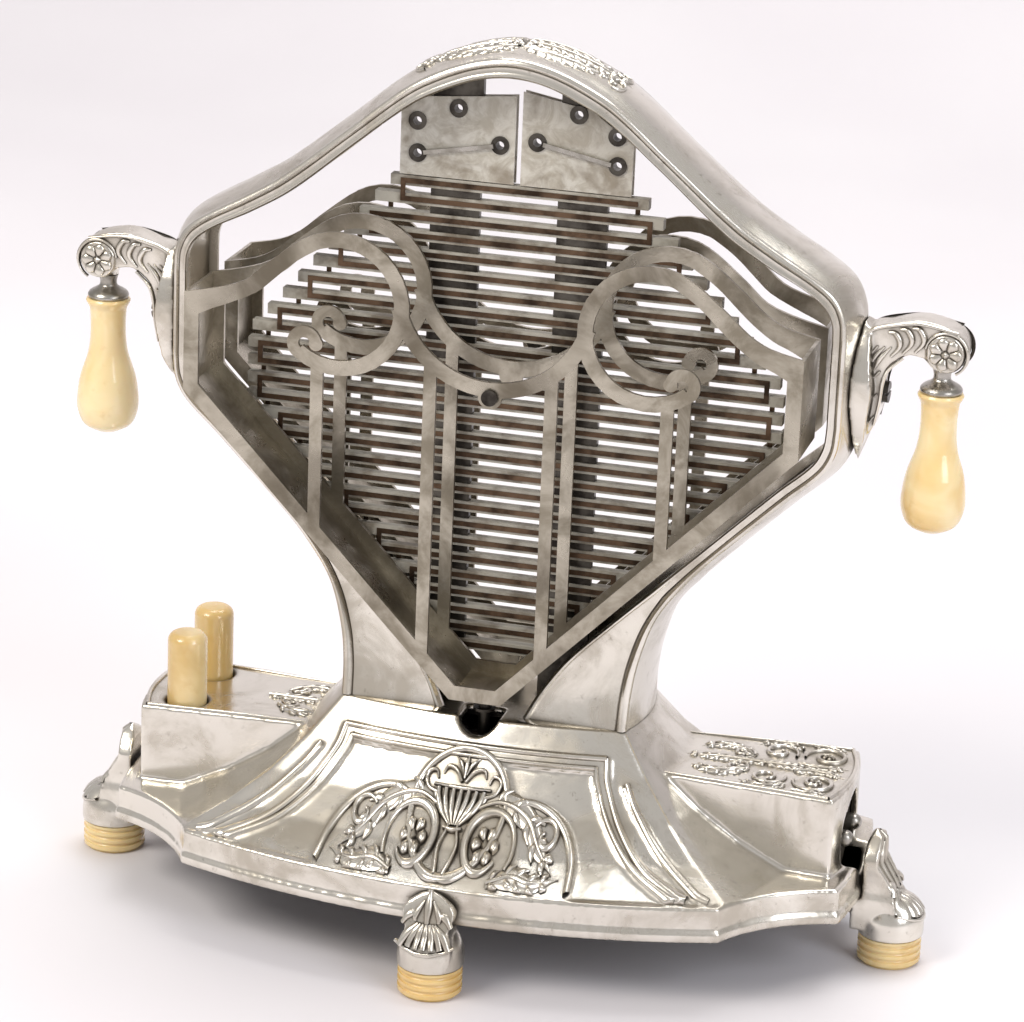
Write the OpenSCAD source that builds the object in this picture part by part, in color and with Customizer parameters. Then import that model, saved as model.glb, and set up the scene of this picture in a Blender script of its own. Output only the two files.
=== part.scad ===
// Drop side toaster: a nickel plated table toaster with a diamond shaped frame on a
// low pedestal. A push button for each side works a lever in the base, which tilts
// that side's bread basket outwards about a pin below its spindle.
// Front is -Y, the buttons are at -X and the inlet is at +X.

/* [Skirt and feet] */
// Height of the feet below the toes
foot_h = 8.5; // [6:0.5:12]
// Diameter of each foot
foot_d = 19; // [17:0.5:20]
// Distance from the centre to the front and rear feet
foot_y = 64.9; // [62:0.1:68]
// Distance from the centre to the left and right feet
foot_x = 118.3; // [116:0.1:122]
// Height of the skirt's lower edge above the table
skirt_bottom = 20.6; // [18:0.1:23]
// Height of the skirt's upper edge above the table
skirt_top = 31; // [28:0.5:34]
// Distance from the centre to the middle of the bowed front of the skirt
skirt_front = 64.5; // [62:0.5:67]
// Distance from the centre to the middle of the skirt's ends
skirt_end = 109.5; // [108:0.5:112]
// Where the skirt's corner lies to the side of the centre
corner_x = 78; // [74:1:82]

/* [Pedestal and wings] */
// Height of the pedestal's top above the table
ped_top = 66.2; // [62:0.2:72]
// Half width of the pedestal's top, in the middle of its bowed end
ped_end = 45; // [43:0.5:48]
// Distance from the centre to the middle of the pedestal top's front edge
ped_front = 23.5; // [22:0.5:26]
// Height of the wings' tops above the table
wing_top = 54.5; // [50:0.5:58]
// Distance from the centre to the middle of a wing's end
wing_end = 105.5; // [103:0.5:107]
// Half width of a wing at its end
wing_half = 20.3; // [19.5:0.1:22]
// Wall thickness of the base
wall = 2; // [1.5:0.1:2.5]
// Height of the ribs and of the raised medallion on the panels
relief_h = 1.2; // [0.6:0.1:1.5]
// Thickness of the bottom plate
plate_t = 1.2; // [0.8:0.1:2]

/* [Frame] */
// Height of the frame's front edge at the top of the arch
arch_top = 254.2; // [250:0.5:262]
// Half width of the frame's front edge
frame_half = 96; // [95:0.5:98]
// Half depth of the frame above its feet
frame_depth = 14; // [12.5:0.5:15.5]
// Half depth of the frame where it stands on the pedestal
frame_foot_depth = 19; // [18:0.5:19.5]
// How far the middle of the frame's outer face bulges beyond its edges
frame_crown = 3.4; // [2.5:0.1:4]
// Thickness of the webs on the front and rear of the frame
web_t = 2; // [1.4:0.1:2.4]

/* [Baskets] */
// How far the baskets' sides lie within the frame's outer edge
basket_side_gap = 8; // [7:0.1:10]
// Distance from the middle plane to the outer face of a basket
basket_outer = 28.6; // [27.5:0.1:30]
// Distance from the middle plane to the inner face of a basket
basket_inner = 5.4; // [5:0.1:6]
// Height of the basket's flat bottom
basket_bottom = 72.7; // [71:0.1:75]
// Height from the basket's lower side corners to its upper ones
basket_side = 28.3; // [25:0.1:31]
// Height from the basket's upper side corners to the top of the arch
basket_drop = 70.8; // [68:0.1:74]
// Half width of the basket's flat bottom
bottom_half = 7.5; // [6:0.5:9]
// Thickness of the basket's grilles
grille_t = 1.2; // [0.8:0.1:1.6]
// Thickness of the basket's tray
tray_t = 1; // [0.8:0.1:1.4]
// Width of the strips round the edge of a grille
strip_w = 4.3; // [3.5:0.1:5]
// Width of the upright bars of a grille
bar_w = 3.6; // [3:0.1:4.5]
// Distance from the centre to the inner bars
bar_in = 17.3; // [15:0.1:20]
// Distance from the centre to the outer bars
bar_out = 50; // [48:0.1:52]
// Distance from the centre to the middle of each large scroll
scroll_x = 44.3; // [43:0.1:46]
// Height of the middle of each large scroll above the basket's upper corners
scroll_rise = 1.2; // [0:0.1:3]
// Outer radius of each large scroll
scroll_r = 20.5; // [19:0.1:21.5]
// How far the scrollwork and bars sit to the right of the middle
pattern_shift = 1.2; // [0:0.1:2]

/* [Handles] */
// Distance from the frame's side to the middle of each grip
grip_out = 25.2; // [23:0.1:28]
// Height from the top of each grip to the top of the arch
grip_drop = 83.6; // [82:0.1:86]
// Length of each grip
grip_len = 40.2; // [36:0.1:44]
// Largest diameter of each grip
grip_d = 17.8; // [16:0.1:20]
// Thickness of the handle brackets
bracket_t = 10; // [8:0.5:12]

/* [Mechanism] */
// Diameter of the push buttons
button_d = 11.6; // [10:0.1:11.8]
// Distance from the centre to the buttons
button_x = 91.6; // [89:0.1:93]
// Distance from the middle plane to each button
button_y = 11.6; // [11.4:0.1:11.7]
// Height of the tops of the buttons above the wing
button_rise = 21.4; // [18:0.1:24]
// How far a button is pressed
button_travel = 9.4; // [8:0.1:10]
// Distance from the middle plane to each basket's tilting pin
pivot_y = 17; // [16.5:0.1:17.5]
// Height of the tilting pins
pivot_z = 56; // [55:0.1:57]
// Diameter of the spindles
spindle_d = 3.4; // [3:0.1:4]
// Diameter of the tilting pins and of the lever pin
pin_d = 3; // [2.4:0.1:3.4]
// Distance from the centre to the lever pin
lever_x = 37; // [35:0.5:40]
// Height of the lever pin
lever_z = 45.5; // [44:0.1:46]

/* [Heater] */
// Height of the lowest heater slat
slat_low = 78; // [76:0.5:90]
// Number of heater slats
slat_count = 27; // [20:1:28]
// Height of each heater slat
slat_h = 3; // [2.4:0.1:3.4]
// Height from the mica cards' tops to the top of the arch
mica_drop = 13.2; // [12:0.1:16]
// Height of the mica cards
mica_h = 24.5; // [22:0.5:26]
// Width of the heater's steel posts
post_w = 14.3; // [10:0.1:16]
// Distance from the centre to each post
post_x = 18.3; // [16:0.1:20]

/* [Inlet] */
// Distance between the inlet's pins
inlet_pitch = 12.7; // [11:0.1:14]
// Diameter of the inlet's pins
inlet_pin_d = 4.8; // [4:0.1:5]
// Height of the inlet's pins above the table
inlet_z = 38; // [37:0.1:40]

/* [Hidden] */
$fn = 96;
big_fn = 180;
cove_steps = 4;
nickel = "silver";
dark_steel = "dimgray";
ivory = "wheat";

// Clearances: fixed pieces laid together, pieces pushed into holes, and running fits
seat_gap = 0.1;
press_gap = 0.02;
run_gap = 0.05;
lift_gap = 0.15;

// The bowed front of the base, as circles about a far axis on the other side
bow_axis = 167.5;
corner_y = bow_axis - sqrt(pow(bow_axis + skirt_front, 2) - corner_x * corner_x);
corner_r = 48;
corner_cut = [corner_x + 42.5, corner_y - 22.4];
end_bow = 150;
lip = 0.9;
lip_h = 3;
flare_front_r = 85;
flare_end_r = 110;
flare_front_low = bow_axis + skirt_front - 2;
flare_front_high = bow_axis + ped_front;
ped_end_axis = 8.2;
flare_end_low = 100;
flare_end_high = ped_end + ped_end_axis;
// Radius of the hollow corners of the base, with the height above the skirt
trumpet_profile = [[48, 0], [56, 0.085], [69.6, 0.36], [82.4, 0.74], [89, 1]];
wing_end_r = 75;
wing_root = 17;
wing_root_x = 50;
boss_at = [60, 25];
boss_top = 44.5;
plate_top = skirt_bottom + plate_t;
ped_under = ped_top - wall;
wing_under = wing_top - wall;
notch_r = 6;
inlet_r = 12;
screw_d = 3;
foot_recess = 2.4;
toe_rise = 12.4;
end_leaf_top = skirt_top + 9;
grip_x = frame_half + grip_out;
grip_top = arch_top - grip_drop;
neck_top = grip_top + 6.9;
screw_z = grip_top - 1.6;

basket_half = frame_half - basket_side_gap;
basket_high = arch_top - basket_drop;
basket_low = basket_high - basket_side;
scroll_z = basket_high + scroll_rise;

// Curve helpers
function tangent(p, i) =
    let (d = p[min(i + 1, len(p) - 1)] - p[max(i - 1, 0)]) d / norm(d);
function span_at(p, i, t) =
    let (a = p[i], b = p[i + 1], l = norm(b - a))
    a * (1 + t * t * (2 * t - 3)) + b * t * t * (3 - 2 * t)
    + tangent(p, i) * l * t * (1 - t) * (1 - t) - tangent(p, i + 1) * l * t * t * (1 - t);
function curve(p, n) =
    concat([for (i = [0 : len(p) - 2], k = [0 : n - 1]) span_at(p, i, k / n)], [p[len(p) - 1]]);
function mirrored(p) = [for (i = [len(p) - 1 : -1 : 0]) [-p[i].x, p[i].y]];
function reverse(p) = [for (i = [len(p) - 1 : -1 : 0]) p[i]];
function both_halves(p) = concat(mirrored(p), [for (i = [1 : len(p) - 1]) p[i]]);
function arc_points(c, r, a0, a1, n) =
    [for (i = [0 : n]) let (a = a0 + (a1 - a0) * i / n) c + r * [cos(a), sin(a)]];

// Faces of a tube whose rings are listed one after the other, closed by the triangles in cap
function fan(sides) = [for (j = [1 : sides - 2]) [0, j, j + 1]];
function ring_faces(rings, sides, cap) = concat(
    cap,
    [for (i = [0 : rings - 2], j = [0 : sides - 1], half = [0, 1])
        let (a = i * sides + j, b = i * sides + (j + 1) % sides)
        half == 0 ? [a, a + sides, b] : [b, a + sides, b + sides]],
    [for (t = cap) [for (k = [2, 1, 0]) (rings - 1) * sides + t[k]]]);

// Extrudes a shape drawn in X and Z from y0 to y1
module along_y(y0, y1) {
    translate([0, y1, 0]) rotate([90, 0, 0]) linear_extrude(y1 - y0) children();
}

// Extrudes a shape drawn in Y and Z from x0 to x1
module along_x(x0, x1) {
    translate([x0, 0, 0]) rotate([90, 0, 90]) linear_extrude(x1 - x0) children();
}

module rod_x(x0, x1, y, z, r) {
    translate([x0, y, z]) rotate([0, 90, 0]) cylinder(h = x1 - x0, r = r);
}

module rod_y(y0, y1, x, z, r) {
    translate([x, y1, z]) rotate([90, 0, 0]) cylinder(h = y1 - y0, r = r);
}

module box(x0, x1, y0, y1, z0, z1) {
    translate([x0, y0, z0]) cube([x1 - x0, y1 - y0, z1 - z0]);
}

// Flat strip of width w from p to q
module strip(p, q, w) {
    n = [p.y - q.y, q.x - p.x] / norm(q - p) * w / 2;
    polygon([p - n, q - n, q + n, p + n]);
}

// Ring sector from angle a0 to a1
module ring_arc(c, r_out, r_in, a0, a1) {
    polygon(concat(arc_points(c, r_out, a0, a1, 24), arc_points(c, r_in, a1, a0, 24)));
}

// The base
module skirt_plan(g) {
    difference() {
        intersection() {
            translate([0, bow_axis]) circle(r = bow_axis + skirt_front + g, $fn = big_fn);
            translate([0, -bow_axis]) circle(r = bow_axis + skirt_front + g, $fn = big_fn);
            translate([end_bow - skirt_end, 0]) circle(r = end_bow + g, $fn = big_fn);
            translate([skirt_end - end_bow, 0]) circle(r = end_bow + g, $fn = big_fn);
        }
        for (sx = [-1, 1], sy = [-1, 1])
            translate([sx * corner_cut.x, sy * corner_cut.y]) circle(r = corner_r - g, $fn = big_fn);
    }
}

// Solid of revolution with a hollow flare from r_low at the skirt to r_high at the top
module cove(r_low, r_high, bend, g) {
    p = [r_low + g, skirt_top + min(g, 0)];
    q = [r_high + g, ped_top + min(g, 0)];
    n = [q.y - p.y, p.x - q.x] / norm(q - p);
    c = (p + q) / 2 + n * sqrt(bend * bend - pow(norm(q - p) / 2, 2));
    a0 = atan2(p.y - c.y, p.x - c.x);
    a1 = atan2(q.y - c.y, q.x - c.x);
    turn = a1 > a0 ? a1 - 360 : a1;
    rotate_extrude($fn = big_fn) polygon(concat([[0, p.y - 1], [p.x, p.y - 1]],
        arc_points(c, bend, a0, turn, cove_steps), [[0, q.y]]));
}

module cove_front(g) {
    translate([0, bow_axis, 0]) cove(flare_front_low, flare_front_high, flare_front_r, g);
}

module cove_end(g) {
    translate([-ped_end_axis, 0, 0]) cove(flare_end_low, flare_end_high, flare_end_r, g);
}

module wing_plan(g) {
    slope = (wing_half - wing_root) / (wing_end - 2.7 - wing_root_x);
    intersection() {
        translate([wing_end - wing_end_r, 0]) circle(r = wing_end_r + g, $fn = big_fn);
        for (s = [-1, 1])
            polygon([[0, 0], [0, s * (wing_root - wing_root_x * slope + g)],
                [wing_end + 5, s * (wing_root + (wing_end + 5 - wing_root_x) * slope + g)],
                [wing_end + 5, 0]]);
    }
}

module base_form(g) {
    cut = min(g, 0);
    translate([0, 0, skirt_bottom + cut]) linear_extrude(skirt_top - skirt_bottom) skirt_plan(g);
    intersection() {
        cove_front(g);
        mirror([0, 1, 0]) cove_front(g);
        cove_end(g);
        mirror([1, 0, 0]) cove_end(g);
    }
    for (side = [0, 1]) mirror([side, 0, 0])
        translate([0, 0, skirt_top + cut - 1]) linear_extrude(wing_top - skirt_top + 1) wing_plan(g);
    intersection() {
        cove_front(g);
        mirror([0, 1, 0]) cove_front(g);
        difference() {
            translate([0, 0, skirt_top + cut - 1]) linear_extrude(wing_top - skirt_top + 1)
                intersection() {
                    skirt_plan(g);
                    translate([wing_end - wing_end_r, 0]) circle(r = wing_end_r + g, $fn = big_fn);
                    translate([wing_end_r - wing_end, 0]) circle(r = wing_end_r + g, $fn = big_fn);
                }
            for (sx = [-1, 1], sy = [-1, 1])
                translate([sx * corner_cut.x, sy * corner_cut.y, skirt_top + cut - 1])
                    trumpet(g);
        }
    }
}

// Flare that hollows the corner between a wing and the front
module trumpet(g) {
    rise = wing_top - skirt_top;
    rotate_extrude($fn = big_fn) polygon(concat([[0, -1], [corner_r - g, -1]],
        [for (p = trumpet_profile) [p[0] - g, 1 + p[1] * rise]],
        [[trumpet_profile[4][0] - g + 8, rise + 5], [0, rise + 5]]));
}

// Raised mouldings on the front and rear panels, drawn in X and Z
rib_side = [[corner_x - 7, skirt_top - 1], [corner_x - 11, skirt_top + 0.8],
    [corner_x - 22.6, skirt_top + 5.6], [corner_x - 31.4, skirt_top + 13],
    [ped_end - 4.3, ped_top - 12.8], [ped_end - 5.8, ped_top - 6.4]];
border_side = [[corner_x - 1, skirt_top - 1], [corner_x - 6.1, skirt_top + 1.6],
    [corner_x - 18.4, skirt_top + 8.4], [corner_x - 28, skirt_top + 17.3],
    [ped_end + 0.9, ped_top - 12.5]];
function panel_edge(k) = both_halves(concat([[0, rib_side[5].y - k]],
    [for (p = reverse(curve(rib_side, 2))) [p.x - 1.2 * k, min(p.y, rib_side[5].y - k)]]));

module panel_band(k, w) {
    difference() {
        polygon(panel_edge(k));
        polygon(panel_edge(k + w));
    }
}

module panel_relief() {
    panel_band(0, 1.5);
    panel_band(2.2, 1.3);
    for (s = [0, 1]) mirror([s, 0]) {
        edge = curve(border_side, 2);
        polygon(concat(edge, [for (p = reverse(edge)) p - [1.8, 0]]));
    }
    translate([0, skirt_top + 14]) circle(r = 14.5);
    intersection() {
        translate([-40, skirt_top]) square([80, 30]);
        union() {
            for (s = [-1, 1]) translate([s * 20, skirt_top]) circle(r = 17.5);
            translate([-20, skirt_top]) square([40, 17.5]);
        }
    }
}

module relief_solid() {
    intersection() {
        cove_front(relief_h);
        along_y(-skirt_front + 1, -ped_front) panel_relief();
    }
}

// Slot in the pedestal's top through which a spindle tilts outwards
module spindle_notch() {
    rod_y(-ped_front - 12, -pivot_y + spindle_d / 2 + 1, 0, ped_top + 1.3, notch_r);
}

module base_shell() {
    color(nickel) difference() {
        union() {
            base_form(0);
            translate([0, 0, skirt_bottom]) linear_extrude(lip_h) skirt_plan(lip);
            relief_solid();
            mirror([0, 1, 0]) relief_solid();
        }
        difference() {
            base_form(-wall);
            for (sx = [-1, 1], sy = [-1, 1]) translate([sx * boss_at.x, sy * boss_at.y, plate_top])
                cylinder(h = boss_top - plate_top, r = 4);
        }
        spindle_notch();
        mirror([0, 1, 0]) spindle_notch();
        for (s = [-1, 1]) translate([-button_x, s * button_y, wing_under - 1])
            cylinder(h = wall + 2, d = button_d + 0.8);
        rod_x(wing_end - 12, skirt_end + 5, 0, inlet_z, inlet_r);
        for (sx = [-1, 1], sy = [-1, 1]) translate([sx * boss_at.x, sy * boss_at.y, plate_top - 1])
            cylinder(h = 12, d = screw_d + 2 * press_gap);
    }
}

module bottom_plate() {
    color(dark_steel) translate([0, 0, skirt_bottom]) difference() {
        linear_extrude(plate_t) difference() {
            skirt_plan(-wall - seat_gap);
            for (x = [-60 : 12 : 60]) if (abs(x) != 60) translate([x - 2, -12]) square([4, 24]);
        }
        for (sx = [-1, 1], sy = [-1, 1]) translate([sx * boss_at.x, sy * boss_at.y, -1])
            cylinder(h = plate_t + 2, d = screw_d + 2 * run_gap);
    }
}

module bottom_screws() {
    color(dark_steel) for (sx = [-1, 1], sy = [-1, 1])
        translate([sx * boss_at.x, sy * boss_at.y, skirt_bottom]) difference() {
            union() {
                cylinder(h = 11, d = screw_d);
                translate([0, 0, -1.6]) cylinder(h = 1.6, d = 2 * screw_d);
            }
            translate([-screw_d, -0.4, -2]) cube([2 * screw_d, 0.8, 1.2]);
        }
}

// Toes: a round cap over the foot with a leaf that lies against the skirt
module toe_cap() {
    translate([0, 0, foot_h]) rotate_extrude() intersection() {
        union() {
            square([foot_d / 2, 3.5]);
            translate([0, 3.5]) circle(r = foot_d / 2);
        }
        square([foot_d / 2, toe_rise]);
    }
}

module toe_leaf(w, h) {
    polygon(both_halves(curve([[0, h], [w * 0.22, h * 0.93], [w * 0.5, h * 0.74], [w * 0.42, h * 0.5],
        [w * 0.5, h * 0.25], [w * 0.46, 0]], 3)));
}

module toe_bow() {
    color(nickel) difference() {
        union() {
            translate([0, -foot_y, 0]) toe_cap();
            intersection() {
                translate([0, 0, foot_h + 2]) along_y(-foot_y - 7, -foot_y + 3)
                    toe_leaf(15, skirt_top - foot_h - 2);
                along_x(-9, 9) polygon([[-foot_y - 9, foot_h + 2], [-foot_y - 7, skirt_bottom - 3],
                    [-foot_y - 3.4, skirt_top - 4], [-foot_y - 1.6, skirt_top],
                    [-foot_y + 3, skirt_top], [-foot_y + 3, foot_h + 2]]);
            }
        }
        translate([0, 0, skirt_bottom]) linear_extrude(40) skirt_plan(lip + seat_gap);
        translate([0, -foot_y, 0]) cylinder(h = foot_h + 6, d = screw_d + 2 * press_gap);
    }
}

module toe_front() { toe_bow(); }
module toe_rear() { mirror([0, 1, 0]) toe_bow(); }

module toe_end() {
    color(nickel) difference() {
        union() {
            translate([foot_x, 0, 0]) toe_cap();
            intersection() {
                translate([0, 0, foot_h + 2]) along_x(skirt_end - 2, foot_x + 5)
                    toe_leaf(16, end_leaf_top - foot_h - 2);
                along_y(-9, 9) polygon([[skirt_end - 3, foot_h + 2], [skirt_end + 0.6, skirt_top],
                    [skirt_end + 1.2, end_leaf_top - 3], [skirt_end + 3, end_leaf_top],
                    [skirt_end + 5.5, end_leaf_top - 2], [skirt_end + 5, skirt_top],
                    [foot_x + 1, skirt_bottom + 3], [foot_x + 4, foot_h + 2]]);
            }
            box(foot_x - 12, foot_x, -5, 5, skirt_bottom - 6, skirt_bottom - seat_gap);
        }
        translate([0, 0, skirt_bottom - seat_gap]) linear_extrude(40) skirt_plan(lip + seat_gap);
        translate([foot_x, 0, 0]) cylinder(h = foot_h + 6, d = screw_d + 2 * press_gap);
    }
}

module toe_right() { toe_end(); }
module toe_left() { mirror([1, 0, 0]) toe_end(); }

// Turned foot with three grooves and a recess for its screw
module foot() {
    color(ivory) rotate_extrude() difference() {
        union() {
            translate([0, 1]) square([foot_d / 2 - 0.4, foot_h - 1]);
            square([foot_d / 2 - 1.4, foot_h]);
        }
        for (k = [1 : 3]) translate([foot_d / 2 - 0.4, 0.8 + k * foot_h / 4]) circle(r = 0.6, $fn = 24);
        square([screw_d / 2 + run_gap, foot_h + 1]);
        translate([0, -1]) square([screw_d + 0.4, 1 + foot_recess]);
    }
}

module foot_front() { translate([0, -foot_y, 0]) foot(); }
module foot_rear() { translate([0, foot_y, 0]) foot(); }
module foot_right() { translate([foot_x, 0, 0]) foot(); }
module foot_left() { translate([-foot_x, 0, 0]) foot(); }

module foot_screws() {
    color(dark_steel) for (p = [[0, -foot_y], [0, foot_y], [foot_x, 0], [-foot_x, 0]])
        translate([p.x, p.y, 0.8]) {
            cylinder(h = foot_recess - 0.8, d = 2 * screw_d);
            cylinder(h = foot_h + 3, d = screw_d);
        }
}

// The frame: matched points along its outer and inner edges, from the top down the right side
corner_drop = 94;
side_drop = 68.2;
throat = (arch_top - corner_drop - ped_top) / corner_drop;
frame_pairs = let (h = frame_half, t = arch_top, c = arch_top - corner_drop, p = ped_top, k = throat,
    e = ped_end) [
    [[0, t], [0, t - 5.1]],
    [[h * 0.104, t - 1.5], [h * 0.096, t - 6.3]],
    [[h * 0.208, t - 5.2], [h * 0.192, t - 9.8]],
    [[h * 0.312, t - 10.9], [h * 0.286, t - 14.6]],
    [[h * 0.474, t - 23.8], [h * 0.443, t - 26.5]],
    [[h * 0.672, t - 39.2], [h * 0.641, t - 42.4]],
    [[h - 20, t - 46.4], [h - 22.3, t - 50]],
    [[h - 9, t - 52.7], [h - 11.2, t - 55.8]],
    [[h - 3.2, t - 57.2], [h - 6, t - 59.8]],
    [[h - 0.5, t - 62.7], [h - 3.9, t - 63.8]],
    [[h, t - side_drop], [h - 3.5, t - side_drop]],
    [[h, t - side_drop - 3], [h - 3.5, t - side_drop - 3]],
    [[h, c + 3], [h - 3.5, c + 3]],
    [[h, c], [h - 3.5, c]],
    [[h - 0.8, c - 6.7], [h - 4.1, c - 5.2]],
    [[h - 4, c - 12.7], [h - 6.7, c - 10.4]],
    [[h - 13.4, c - 21.6], [h - 15.9, c - 19.1]],
    [[h * 0.638, p + 51 * k], [h * 0.611, p + 53.5 * k]],
    [[h * 0.566, p + 42.8 * k], [h * 0.51, p + 44 * k]],
    [[e + 2.5, p + 32.3 * k], [h * 0.359, p + 29.5 * k]],
    [[e - 1.5, p + 19.8 * k], [h * 0.238, p + 17.6 * k]],
    [[e - 3, p + 9.8 * k], [16, p + 8 * k]],
    [[e - frame_crown, p], [11.8, p]]];
frame_steps = 3;
frame_sweep = 49;
outer_edge = curve(both_halves([for (q = frame_pairs) q[0]]), frame_steps);
inner_edge = curve(both_halves([for (q = frame_pairs) q[1]]), frame_steps);
crown_at = [-1, -0.68, -0.36, 0, 0.36, 0.68, 1];
function crown(c) = frame_crown * (1 - c * c);
function frame_deep(z) =
    frame_depth + (frame_foot_depth - frame_depth) * pow(max(0, 1 - (z - ped_top) / frame_sweep), 2);
function frame_ring(i) =
    let (o = outer_edge[i], d = inner_edge[i] - o, w = norm(d), u = d / w, h = frame_deep(o.y))
    let (section = concat(
        [for (c = crown_at) [c * h, -crown(c)]],
        [[h, w], [h - web_t, w]],
        [for (k = [1, 0.5, 0, -0.5, -1]) let (c = k * (h - web_t) / h) [c * h, web_t - crown(c)]],
        [[web_t - h, w], [-h, w]]))
    [for (s = section) [o.x + u.x * s.y, s.x, o.y + u.y * s.y]];
// Triangles that close the U shaped section, from its outer points 0 to 6 to its inner ones 9 to 13
channel_cap = concat([[6, 7, 8], [6, 8, 9], [0, 13, 14], [0, 14, 15]],
    [for (k = [0 : 3]) [6 - k, 9 + k, 5 - k]], [for (k = [0 : 3]) [5 - k, 9 + k, 10 + k]],
    [[2, 13, 1], [1, 13, 0]]);
// Underside of the arch above the middle plane, for what reaches up to it
arch_under = [for (i = [0 : len(outer_edge) - 1])
    let (o = outer_edge[i], u = (inner_edge[i] - o) / norm(inner_edge[i] - o))
    if (o.y > arch_top - 45) o + u * (web_t - frame_crown)];

module frame_shell() {
    rings = len(outer_edge);
    color(nickel) polyhedron([for (i = [0 : rings - 1]) each frame_ring(i)],
        ring_faces(rings, len(frame_ring(0)), channel_cap), convexity = 8);
}

// Handle brackets: a cast scroll on a leaf shaped plate against the frame's side
rosette = [grip_x + 1.2, grip_top + 12.4];
module bracket_scroll() {
    f = frame_half;
    g = grip_top;
    polygon(concat(
        curve([[f, g + 12], [f + 5.6, g + 17.5], [f + 9.9, g + 18.7], [f + 15.8, g + 20.4],
            [f + 20.6, g + 20.8], [rosette.x + 2.3, rosette.y + 6.3], [rosette.x + 5.2, rosette.y + 3.2],
            [rosette.x + 5.4, rosette.y - 1.6], [rosette.x + 2.4, rosette.y - 5.1],
            [rosette.x - 2.6, rosette.y - 5.1], [rosette.x - 6, rosette.y - 2]], 3),
        curve([[f + 16.5, g + 10.9], [f + 13.7, g + 9.3], [f + 10.8, g + 6.3], [f + 9.7, g + 1.6],
            [f + 9.4, g - 4.1], [f + 8.2, g - 9.7], [f + 6.2, g - 13.6], [f, g - 19]], 3)));
}

module bracket_plate() {
    polygon(both_halves(curve([[0, grip_top + 20], [4.5, grip_top + 17.5], [9, grip_top + 10],
        [10.8, grip_top], [9, grip_top - 10], [5, grip_top - 18], [0, grip_top - 22]], 3)));
}

module handle_bracket() {
    h = frame_depth;
    color(nickel) difference() {
        union() {
            along_y(-bracket_t / 2, bracket_t / 2) bracket_scroll();
            translate([rosette.x, 0, rosette.y]) rotate([90, 0, 0])
                cylinder(h = bracket_t + 2, r = 5.2, center = true);
            intersection() {
                along_x(frame_half, frame_half + 12) bracket_plate();
                along_y(-12, 12) polygon([[frame_half, grip_top + 22],
                    [frame_half + 5.5, grip_top + 17], [frame_half + 7.5, grip_top],
                    [frame_half + 6, grip_top - 14], [frame_half + 3.6, grip_top - 22],
                    [frame_half, grip_top - 24]]);
            }
            translate([grip_x, 0, neck_top - 0.1]) cylinder(h = 4, r = 3);
        }
        translate([0, 0, grip_top - 40]) linear_extrude(80)
            polygon(concat([[frame_half - 10, h], [frame_half - 10, -h]],
                [for (c = crown_at) [frame_half + crown(c) + seat_gap, c * h]]));
        rod_x(frame_half, frame_half + 20, 0, screw_z, screw_d / 2 + press_gap);
        rod_x(frame_half + 9, frame_half + 20, 0, screw_z, screw_d + 0.2);
        translate([0, -20, 0]) box(grip_x - 8, grip_x + 8, 0, 40, neck_top - 20, neck_top);
    }
}

module handle_bracket_right() { handle_bracket(); }
module handle_bracket_left() { mirror([1, 0, 0]) handle_bracket(); }

module handle_screws() {
    color(dark_steel) for (side = [0, 1]) mirror([side, 0, 0]) difference() {
        union() {
            rod_x(frame_half + frame_crown + seat_gap, frame_half + 10, 0, screw_z, screw_d / 2);
            rod_x(frame_half + 9, frame_half + 11, 0, screw_z, screw_d);
        }
        box(frame_half + 10.2, frame_half + 12, -5, 5, screw_z - 0.4, screw_z + 0.4);
    }
}

module neck() {
    color(dark_steel) rotate_extrude() polygon(concat([[0, grip_top]], curve([
        [5.6, grip_top], [5.9, grip_top + 1], [5.2, grip_top + 2], [2.7, grip_top + 3.6],
        [2.4, grip_top + 5], [2.9, neck_top]], 4), [[0, neck_top]]));
}

module handle_neck_right() { translate([grip_x, 0, 0]) neck(); }
module handle_neck_left() { translate([-grip_x, 0, 0]) neck(); }

module grip() {
    r = grip_d / 2;
    color(ivory) translate([0, 0, grip_top - grip_len]) rotate_extrude() polygon(concat([[0, 0]],
        curve([[r * 0.35, 0.2], [r * 0.78, 2.4], [r * 0.97, 6.2], [r, 10], [r * 0.9, 16.6],
            [r * 0.65, grip_len * 0.59], [r * 0.57, grip_len * 0.74], [r * 0.6, grip_len * 0.92],
            [r * 0.72, grip_len - 0.8], [r * 0.68, grip_len]], 4), [[0, grip_len]]));
}

module handle_grip_right() { translate([grip_x, 0, 0]) grip(); }
module handle_grip_left() { translate([-grip_x, 0, 0]) grip(); }

// The heater, which stands in the middle plane between the baskets
post_t = 2;
slat_t = 3.2;
mica_t = 0.5;
ribbon_t = 0.25;
ribbon_w = 1.4;
slat_beyond = 3;
mica_top = arch_top - mica_drop;
mica_low = mica_top - mica_h;
slat_pitch = (mica_low - 0.3 - slat_h - slat_low) / (slat_count - 1);
slat_widest = basket_half - 10;
eyelets = [[-29.7, mica_top - 9], [-18, mica_top - 4.4], [-29.4, mica_top - 18.1],
    [-5.8, mica_top - 13.7], [4.8, mica_top - 11.8], [16.3, mica_top - 2.9],
    [27.4, mica_top - 8], [27.8, mica_top - 16.2]];
eyelet_r = 1.8;
v_slope = (basket_low - basket_bottom) / (basket_half - bottom_half);
function slat_z(k) = slat_low + k * slat_pitch;
function slat_end(z) = min(slat_widest, bottom_half + (z - basket_bottom) / v_slope + slat_beyond,
    slat_widest - 0.85 * (z - basket_high + 18.4));
function turn_at(k) = min(slat_end(slat_z(k)), slat_end(slat_z(min(k + 1, slat_count - 1)))) - 3;

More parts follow.
